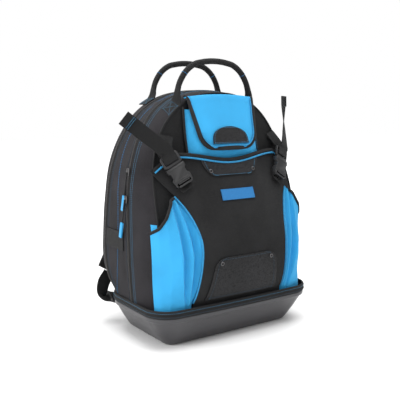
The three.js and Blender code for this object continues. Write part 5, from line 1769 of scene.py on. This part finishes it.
@dataclass
class Handles:
    """The two carrying handles: rolled in the middle, flat and sewn at the ends."""

    top: float = 492.0
    width: float = 25.0
    thick: float = 1.8
    round: float = 10.5
    steps: int = 64
    ring_step: int = 46
    spans: tuple[tuple[str, float, float], ...] = (("front", 162.0, -29.0), ("back", 152.0, 61.0))
    path: Table = Table(
        tuple(range(9)),
        out=(1.28, 1.15, 1.04, 0.99, 0.96, 0.89, 0.74, 0.52, 0.26),
        rise=(0.0, 0.0, 0.01, 0.09, 0.25, 0.48, 0.73, 0.91, 0.98),
        round=(0.0, 0.0, 0.0, 0.2, 0.7, 1.0, 1.0, 1.0, 1.0),
    )

    def arch(self, x: float, depth: float) -> float:
        """Height of the gusset at a depth."""
        draw = float(FORM.draw(np.array(depth), np.array(FORM.top)))
        reach = FORM.half - FORM.front_inset * draw + 1.2
        rise = FORM.top - FORM.front_top_inset * draw + 1.2 - FORM.spring
        return FORM.spring + rise * (1 - (abs(x) / reach) ** FORM.power) ** (1 / FORM.power)

    def build(self) -> None:
        """Builds both handles."""
        for name, span, depth in self.spans:
            foot = span / 2
            crest = depth + self.width / 2
            rise = self.top - self.round / 2 - self.arch(foot, crest)
            half = []
            for step in np.linspace(0, 8, self.steps + 1):
                out, up, turn = (float(self.path.read(key, step)) for key in ("out", "rise", "round"))
                half.append((foot * out, self.arch(max(out, 1) * foot, crest) + rise * up, turn))
            middle = self.top - self.round / 2
            crown = [(x, middle - 1.1 * (x / (foot * 0.26)) ** 2, 1.0) for x in (9.0, 0.0, -9.0)]
            line = half + crown + [(-x, z, turn) for x, z, turn in half[::-1]]
            self.roll(name, [(-x, z, turn) for x, z, turn in line], depth)
            self.tacks(name, foot, depth)

    def roll(self, name: str, line: Sequence[Spot], depth: float) -> None:
        """Rings of one handle, with the lapped seam of the rolled webbing.

        Args:
            name: front or back.
            line: X, Z and share of roll along the handle.
            depth: Y of the handle's middle.
        """
        sides = 32
        rings = []
        for i, (x, z, turn) in enumerate(line):
            before, after = line[max(i - 1, 0)], line[min(i + 1, len(line) - 1)]
            along = unit((after[0] - before[0], 0, after[1] - before[1]))
            out = np.array([-along[2], 0, along[0]])
            wide = (self.width + (self.round - self.width) * turn) / 2
            tall = (self.thick + (self.round - self.thick) * turn) / 2
            ring = []
            for k in range(sides):
                angle = 2 * math.pi * (k + 0.5) / sides
                c, s = math.cos(angle), math.sin(angle)
                power = 1 if turn > 0.99 else 0.25 + 0.75 * turn
                lap = 0.7 * turn * math.exp(-((k - 20) ** 2) / 2.0)
                flat = blunt(s, power)
                y = depth + c * (wide - lap)
                drop = self.arch(abs(x), y) - self.arch(abs(x), depth + self.width / 2)
                lift = flat * (tall - lap) + drop * out[2] * (1 - turn) ** 3
                ring.append(np.array([x, y, z]) + out * lift)
            rings.append(ring)
        skin(f"handle_webbing_{name}", np.array(rings), "black_webbing", sharp=75.0, nodes=[f"handle_{name}"])
        loops = []
        for i in (self.ring_step, len(line) - 1 - self.ring_step):
            centre = np.mean(rings[i], axis=0)
            loops.append(np.array([centre + (spot - centre) * 1.06 for spot in rings[i] + rings[i][:1]]))
        sew(f"handle_rings_{name}", loops, "bright_thread", RING_STITCH)

    def tacks(self, name: str, foot: float, depth: float) -> None:
        """Blue box stitches with a cross on each sewn end.

        Args:
            name: front or back.
            foot: half the span.
            depth: Y of the handle's middle.
        """
        paths = []
        for side in (-1, 1):
            xs = np.linspace(foot * 1.05, foot * 1.26, 10)

            def lay(x: Array, offset: Array | float) -> Array:
                """Points just above the sewn end."""
                depths = depth + np.broadcast_to(offset, x.shape)
                heights = np.array([self.arch(v, y) + 1.35 for v, y in zip(x, depths)])
                return points(side * x, depth + offset, heights)

            reach = self.width / 2 - 2.6
            paths += [lay(xs, reach), lay(xs, -reach), lay(xs, np.linspace(-reach, reach, 10))]
            paths += [lay(xs, np.linspace(reach, -reach, 10))]
            for end in (xs[0], xs[-1]):
                paths.append(lay(np.full(6, end), np.linspace(-reach, reach, 6)))
        sew(f"handle_tacks_{name}", paths, "blue_thread", TACK_STITCH)


@dataclass
class Webbing:
    """Flat straps: side bands, buckle straps and their tails, clip webs, lower webs and tabs."""

    width: float = 25.0
    thick: float = 1.8
    plug: float = 5.0
    socket: float = 9.0
    ladder: float = 22.0
    socket_length: float = 36.0
    seat: float = 0.6
    tail: float = 118.0
    leans: tuple[Spot, ...] = ((-0.77, 0.13, 0.6), (-0.06, -0.02, 1))
    looks: tuple[Spot, ...] = ((-0.5, -0.85, 0.1), (0.9, -0.45, 0))
    band_low: float = 155.5
    band_height: float = 33.0

    def strap(
        self,
        name: str,
        through: Sequence[Array],
        out: Turn,
        node: str,
        width: float = 25.0,
    ) -> Piece:
        """A strap through points, standing for a node.

        Args:
            name: name of the piece.
            through: points of the middle line.
            out: direction of the face at a share of the length.
            node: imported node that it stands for.
            width: width of the strap.
        Returns:
            The finished piece.
        """
        grid = strap_grid(Course(through), out, width, 48)
        return sheet(name, grid, self.thick, "black_webbing", nodes=[node])

    def band(self, name: str, side: int) -> None:
        """The band across the side of the middle gusset, with its stitched ends.

        Args:
            name: left or right.
            side: -1 or 1.
        """

        def place(u: Array, v: Array) -> Array:
            """Face of the side band."""
            z = self.band_low + self.band_height * v
            front, back = FORM.lane("frontZip", z) + 17.4, FORM.lane("backZip", z) - 7.0
            return points(FORM.half_width(z) + 2.1, front + (back - front) * u, z)

        grid = spread(on_side(side, place), 30, 14)
        grid = raised(grid, cloud(grid, 24.0, 3.3) * 0.5 * edge_mask(grid))
        sheet(
            f"side_band_{name}", grid, self.thick, "black_webbing", arc_uv(grid)[..., ::-1],
            nodes=[f"gusset_band_{name}"],
        )

    def anchor(self, name: str, side: int) -> None:
        """Strap from the front seam down to the ladder.

        Args:
            name: left or right.
            side: -1 or 1.
        """
        lift, top = -(self.plug / 2 + self.seat), 0.3 + self.ladder
        z = FORM.top * 0.825
        x = float(FORM.half_width(z)) - FORM.front_inset - 8
        seat = float(FORM.front_wall(x, z)) - self.seat * 4 - self.thick
        through = [
            np.array([side * x, seat, z]),
            BUCKLE.at(side, 0, lift - 0.5, top + 6),
            BUCKLE.at(side, 0, lift, top),
            BUCKLE.at(side, 0, lift, top - self.ladder * 0.6),
        ]
        facing = BUCKLE.facing(side)
        self.strap(f"anchor_webbing_{name}", through, lambda v: facing, f"strap_anchor_{name}")

    def tail_strap(self, name: str, side: int) -> None:
        """The free tail above the ladder, with a folded end and blue tacks.

        Args:
            name: left or right.
            side: -1 or 1.
        """
        lift, top = self.plug / 2 + self.seat + self.thick, 0.3 + self.ladder
        knee = BUCKLE.at(side, 0, lift + 1, top + 5)
        lean = unit(self.leans[side > 0])
        through = [
            BUCKLE.at(side, 0, lift, top - self.ladder * 0.7),
            BUCKLE.at(side, 0, lift, top),
            knee,
            knee + lean * self.tail * 0.4,
            knee + lean * self.tail * 0.78,
        ]
        first = BUCKLE.facing(side)
        last = np.array(self.looks[side > 0])

        def out(v: float) -> Array:
            """Direction of the tail's face, which turns above the ladder."""
            return unit(first + (last - first) * min(max((v - 0.45) * 2.2, 0), 1))

        self.strap(f"tail_webbing_{name}", through, out, f"strap_tail_{name}")
        course = Course(through)
        fold = strap_grid(course, out, self.width - 0.6, 48)[43:] + unit(out(1.0)) * 1.6
        sheet(f"tail_fold_{name}", fold, 1.5, "black_webbing")
        lines = []
        for share in (0.905, 0.925):
            facing = unit(out(share))
            across = unit(np.cross(course.tangent(share), facing))
            spot = course.at(share) + facing * 1.9
            lines.append(np.array([spot + across * k for k in np.linspace(-10, 10, 8)]))
        sew(f"tail_tacks_{name}", lines, "blue_thread", (2.4, 2.2, 0.9, 0.8))

    def clip(self, name: str, side: int) -> None:
        """The short loop that ties the socket to the pouch wall.

        Args:
            name: left or right.
            side: -1 or 1.
        """
        end, lift = -0.3 - self.socket_length, -(self.socket / 2 + 0.3)
        foot = BUCKLE.at(side, 0, lift, end - 6)
        foot[1] = float(POUCH.wall(foot[0], foot[2])) - self.seat * 12 - self.thick
        through = [BUCKLE.at(side, 0, lift, end + 12), BUCKLE.at(side, 0, lift, end - 1), foot]
        first, last = BUCKLE.facing(side), np.array((0.0, -1.0, 0.0))

        def facing(v: float) -> Array:
            """Direction of the loop's face, which turns part of the way to the pouch wall."""
            return unit(first + (last - first) * v * 0.44)

        self.strap(f"clip_webbing_{name}", through, facing, f"clip_web_{name}", self.width - self.seat * 4)

    def lower(self, name: str, side: int) -> None:
        """The webbing below the shoulder strap and the tab on the tray's ring.

        Args:
            name: left or right.
            side: -1 or 1.
        """
        end = SHOULDER[-1] * (side, 1, 1)
        lift = self.plug / 2 + self.seat + self.thick
        through = [
            np.array([end[0], end[1] - 1, end[2] - 3.85]),
            np.array([end[0] + side * 15, end[1] - 6, end[2] * 0.76]),
            ADJUSTER.at(side, 0, lift + self.seat * 3, self.ladder + 11),
            ADJUSTER.at(side, 0, lift + self.seat, self.ladder - 2),
            ADJUSTER.at(side, 0, lift, self.ladder * 0.4),
        ]
        facing = turning(np.array((0.0, 1.0, 0.0)), ADJUSTER.facing(side), 0, 0.4)
        self.strap(f"lower_webbing_{name}", through, facing, f"lower_web_{name}")
        below = -(self.plug / 2 + self.seat)
        seat = TRAY.rim[2] + 1.2 + self.seat + self.thick
        tab = [
            ADJUSTER.at(side, 0, below, self.ladder * 0.6),
            ADJUSTER.at(side, 0, below, 2),
            ADJUSTER.at(side, 0, below, -8),
            np.array([side * 112, seat + 1, TRAY.height * 0.8]),
            np.array([side * 108, seat, FORM.base + FORM.binding * 0.8]),
        ]
        facing = turning(ADJUSTER.facing(side), np.array((side * 0.1, 1.0, 0.0)), 0.45, 1)
        self.strap(f"tab_webbing_{name}", tab, facing, f"lower_tab_{name}")

    def build(self) -> None:
        """Builds every strap on both sides."""
        for name, side in SIDES.items():
            self.band(name, side)
            self.anchor(name, side)
            self.tail_strap(name, side)
            self.clip(name, side)
            self.lower(name, side)


def shoulder_route() -> Array:
    """Middle line of the right shoulder strap."""
    rows = ((0.93, 40, -4.5), (0.86, 50, 7), (0.7, 66, 18), (0.5, 86, 20), (0.33, 114, 10), (0.215, 147, 5))
    return np.array([
        (out, float(FORM.lane("back", FORM.top * height)) + 11.6 + slack, FORM.top * height)
        for height, out, slack in rows
    ])


SHOULDER = shoulder_route()


@dataclass
class Padding:
    """The padded shoulder straps and the pad on the back."""

    width: float = 58.0
    thick: float = 11.0

    def strap(self, name: str, side: int) -> None:
        """One shoulder strap with bound edges and cross channels.

        Args:
            name: left or right.
            side: -1 or 1.
        """
        course = Course(SHOULDER)
        steps, sides = 110, 40
        rings, edges = [], {1: [], -1: []}
        for i in range(steps + 1):
            share = i / steps
            centre, along = course.at(share), course.tangent(share)
            across = unit(np.array([1.0, 0, 0]) - along * along[0])
            out = unit(np.cross(along, across))
            wide = self.width / 2 * (1 - 0.25 * smooth_step(share, 0.84, 0.93))
            tall = self.thick / 2 * (0.55 + 0.45 * min(share, 1 - share) ** 0.5 / 0.7)
            ring = []
            for k in range(sides):
                angle = 2 * math.pi * (k + 0.5) / sides
                c, s = math.cos(angle), math.sin(angle)
                x = blunt(c, 0.6) * wide
                channel = 0.72 + 0.28 * min(1.0, abs(x / wide) * 5 + 0.35)
                y = blunt(s, 0.8) * tall * channel
                ring.append((centre + across * x + out * y) * (side, 1, 1))
            rings.append(ring)
            for edge in edges:
                edges[edge].append((centre + across * edge * (wide - 0.4)) * (side, 1, 1))
        piece = skin(
            f"shoulder_pad_{name}", np.array(rings), "mesh_cloth", sharp=80.0,
            nodes=[f"shoulder_strap_{name}"],
        )
        for key, edge in (("outer", 1), ("inner", -1)):
            line = np.array(edges[edge])
            cord_piece(f"shoulder_binding_{name}_{key}", line, 2.0, "black_binding")

    def back(self) -> None:
        """The pad on the back, with quilted channels."""
        half, low, high = FORM.half * 0.62, FORM.top * 0.24, FORM.top * 0.84

        def place(u: Array, v: Array) -> Array:
            """Face of the pad, swollen between its channels.

            Args:
                u: share across.
                v: share up.
            Returns:
                The points.
            """
            z = low + (high - low) * v
            edge = np.minimum(np.minimum(u, 1 - u), np.minimum(v, 1 - v))
            swell = np.sqrt(np.clip(edge * 5, 0, 1))
            narrow = 1 - 0.12 * (2 * v - 1) ** 4
            groove = np.exp(-(((u - 0.36) / 0.018) ** 2)) + np.exp(-(((u - 0.64) / 0.018) ** 2))
            groove = np.clip(groove + np.exp(-(((np.abs(v - 0.5) - 0.2) / 0.014) ** 2)), 0, 1)
            y = FORM.lane("back", z) + 4.2 + 6.6 * swell * (1 - 0.45 * groove)
            return points(half * narrow * (1 - 2 * u), y, z)

        grid = spread(place, 110, 120)
        pad = sheet("back_pad_cloth", grid, 2.2, "mesh_cloth", nodes=["back_pad"])
        rim = spread(place, 60, 60)
        loop = np.concatenate([rim[0, :-1], rim[:-1, -1], rim[-1, :0:-1], rim[:0:-1, 0]])
        cord_piece("back_pad_edge", loop + (0, 0.4, 0), 1.9, "black_binding", looped=True)

    def build(self) -> None:
        """Builds the back pad and both straps."""
        self.back()
        for name, side in SIDES.items():
            self.strap(name, side)


@dataclass
class Fittings:
    """Hard fittings: buckles, adjusters and zip pulls, with rounded edges and moulded details."""

    def rounded(self, node: str, name: str, material: str, width: float) -> None:
        """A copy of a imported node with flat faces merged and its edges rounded.

        Args:
            node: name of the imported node.
            name: name of the new piece.
            material: name of the finish.
            width: width of the rounding in millimetres.
        """
        build = bmesh.new()
        build.from_mesh(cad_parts[node].data)
        bmesh.ops.remove_doubles(build, verts=build.verts, dist=2e-5)
        bmesh.ops.dissolve_limit(build, angle_limit=math.radians(2), verts=build.verts, edges=build.edges)
        least = math.radians(20)
        sharp = [edge for edge in build.edges if edge.is_manifold and edge.calc_face_angle() > least]
        bmesh.ops.bevel(
            build, geom=sharp, offset=width * MM, segments=2, profile=0.5, affect="EDGES", clamp_overlap=True
        )
        bmesh.ops.recalc_face_normals(build, faces=build.faces)
        mesh = bpy.data.meshes.new(name)
        build.to_mesh(mesh)
        build.free()
        mesh.materials.clear()
        mesh.materials.append(WARDROBE[material])
        mesh.polygons.foreach_set("use_smooth", [True] * len(mesh.polygons))
        mesh.set_sharp_from_angle(angle=math.radians(40))
        finish_piece(linked(name, mesh), [node])

    def bar(
        self, name: str, place: Fitting, side: int, centre: Sequence[float], size: Sequence[float]
    ) -> None:
        """A small rounded bar in a fitting's frame, running across it.

        Args:
            name: name of the piece.
            place: frame of the fitting.
            side: -1 or 1.
            centre: place across, out and along.
            size: width, thickness and height.
        """
        across, out, along = centre
        wide, thick, high = size
        rings = []
        for share in (-1.0, -0.96, -0.86, 0.86, 0.96, 1.0):
            pinch = {1.0: 0.45, 0.96: 0.8, 0.86: 1.0}[abs(share)]
            ring = []
            for k in range(12):
                angle = 2 * math.pi * (k + 0.5) / 12
                o = blunt(math.cos(angle), 0.6) * thick / 2 * pinch
                a = blunt(math.sin(angle), 0.6) * high / 2 * pinch
                ring.append(place.at(side, across + share * wide / 2, out + o, along + a))
            rings.append(ring)
        skin(name, np.array(rings), "buckle_plastic", sharp=70.0)

    def build(self) -> None:
        """Builds every fitting."""
        for name, side in SIDES.items():
            self.rounded(f"buckle_plug_{name}", f"buckle_ladder_{name}", "buckle_plastic", 0.9)
            self.rounded(f"buckle_socket_{name}", f"buckle_body_{name}", "buckle_plastic", 1.6)
            self.rounded(f"strap_adjuster_{name}", f"adjuster_{name}", "buckle_plastic", 0.9)
            for index, along in enumerate((-24.0, -27.0, -30.0)):
                self.bar(f"buckle_rib_{name}_{index + 1}", BUCKLE, side, (0, 4.4, along), (22, 1.6, 1.5))
            self.bar(f"buckle_lip_{name}", BUCKLE, side, (0, 4.3, -3.2), (28, 1.8, 2.2))
        for key in ("upper", "lower"):
            self.rounded(f"zip_slider_{key}", f"slider_body_{key}", "dark_steel", 0.8)
            self.rounded(f"pull_link_{key}", f"pull_cord_{key}", "black_webbing", 0.6)
            self.rounded(f"pull_tab_{key}", f"pull_grip_{key}", "pull_rubber", 1.3)


@dataclass
class Studio:
    """Pale floor, soft light and the camera of the photograph."""

    place: Spot = (-0.69201, -0.99238, 0.41359)
    azimuth: float = -34.47
    down: float = 8.52
    lens: float = 58.5
    ambient: float = 0.42
    reach: float = 6.0
    floor_tone: float = 0.9
    glow: float = 0.65
    lights: tuple[tuple[str, Spot, float, float], ...] = (
        ("key_left", (-1.7, 0.1, 0.75), 1.0, 22.0),
        ("front_fill", (-0.2, -2.2, 1.3), 1.2, 9.0),
        ("top_soft", (0.2, -0.1, 3.2), 3.4, 165.0),
    )

    def camera(self) -> None:
        """Places the camera."""
        data = bpy.data.cameras.new("camera")
        data.lens = self.lens
        data.sensor_width = 36.0
        data.clip_start = 0.05
        data.clip_end = 30.0
        camera = linked("camera", data)
        camera.location = self.place
        camera.rotation_euler = (math.radians(90 - self.down), 0.0, math.radians(self.azimuth))
        bpy.context.scene.camera = camera

    def floor(self) -> None:
        """A plain pale floor that brightens into the backdrop away from the bag."""
        material = bpy.data.materials.new("studio_floor")
        material.use_nodes = True
        shader = material.node_tree.nodes["Principled BSDF"]
        shader.inputs["Base Color"].default_value = (self.floor_tone,) * 3 + (1.0,)
        shader.inputs["Roughness"].default_value = 0.6
        shader.inputs["Emission Color"].default_value = (1.0, 1.0, 1.0, 1.0)
        tree = Tree(material.node_tree)
        away = tree.add("ShaderNodeVectorMath", {"operation": "LENGTH"}, Vector=tree.place()).outputs["Value"]
        glow = tree.math("MULTIPLY", tree.ramp(away, 0.6, 2.2), self.glow)
        tree.feed(shader.inputs["Emission Strength"], glow)
        mesh = bpy.data.meshes.new("studio_floor")
        corners = [(x * self.reach, y * self.reach, -0.0005) for x, y in ((-1, -1), (1, -1), (1, 1), (-1, 1))]
        mesh.from_pydata(corners, [], [(0, 1, 2, 3)])
        mesh.materials.append(material)
        linked("studio_floor", mesh)

    def light(self, name: str, place: Sequence[float], size: float, power: float) -> None:
        """A soft square light that looks at the bag.

        Args:
            name: name of the light.
            place: where it stands, in metres.
            size: length of its side in metres.
            power: power in watts.
        """
        data = bpy.data.lights.new(name, "AREA")
        data.shape = "SQUARE"
        data.size = size
        data.energy = power
        lamp = linked(name, data)
        lamp.location = place
        aim = Vector((0, 0, 0.22)) - Vector(place)
        lamp.rotation_euler = aim.to_track_quat("-Z", "Y").to_euler()

    def build(self) -> None:
        """Builds the whole studio."""
        self.floor()
        world = bpy.data.worlds.new("studio")
        world.use_nodes = True
        background = world.node_tree.nodes["Background"]
        background.inputs["Color"].default_value = (1.0, 1.0, 1.0, 1.0)
        tree = Tree(world.node_tree)
        seen = tree.add("ShaderNodeLightPath").outputs["Is Camera Ray"]
        tree.feed(background.inputs["Strength"], tree.scaled(seen, 1.0 - self.ambient, self.ambient))
        bpy.context.scene.view_settings.view_transform = "Standard"
        bpy.context.scene.world = world
        for light in self.lights:
            self.light(*light)


def main() -> None:
    """Builds the camera first, then every piece of the bag, then the studio."""
    logging.basicConfig(level=logging.INFO, format="%(name)s: %(message)s")
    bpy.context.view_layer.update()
    studio = Studio()
    studio.camera()
    WARDROBE.build()
    STITCHES.build()
    TEETH.build()
    kinds = (
        Shell, Zips, Tray, FrontPouch, Flap, TopPocket, SidePockets, Handles, Webbing, Padding, Fittings,
    )
    for kind in kinds:
        LOG.info("building %s", kind.__name__)
        kind().build()
    studio.build()


if __name__ == "__main__":
    main()
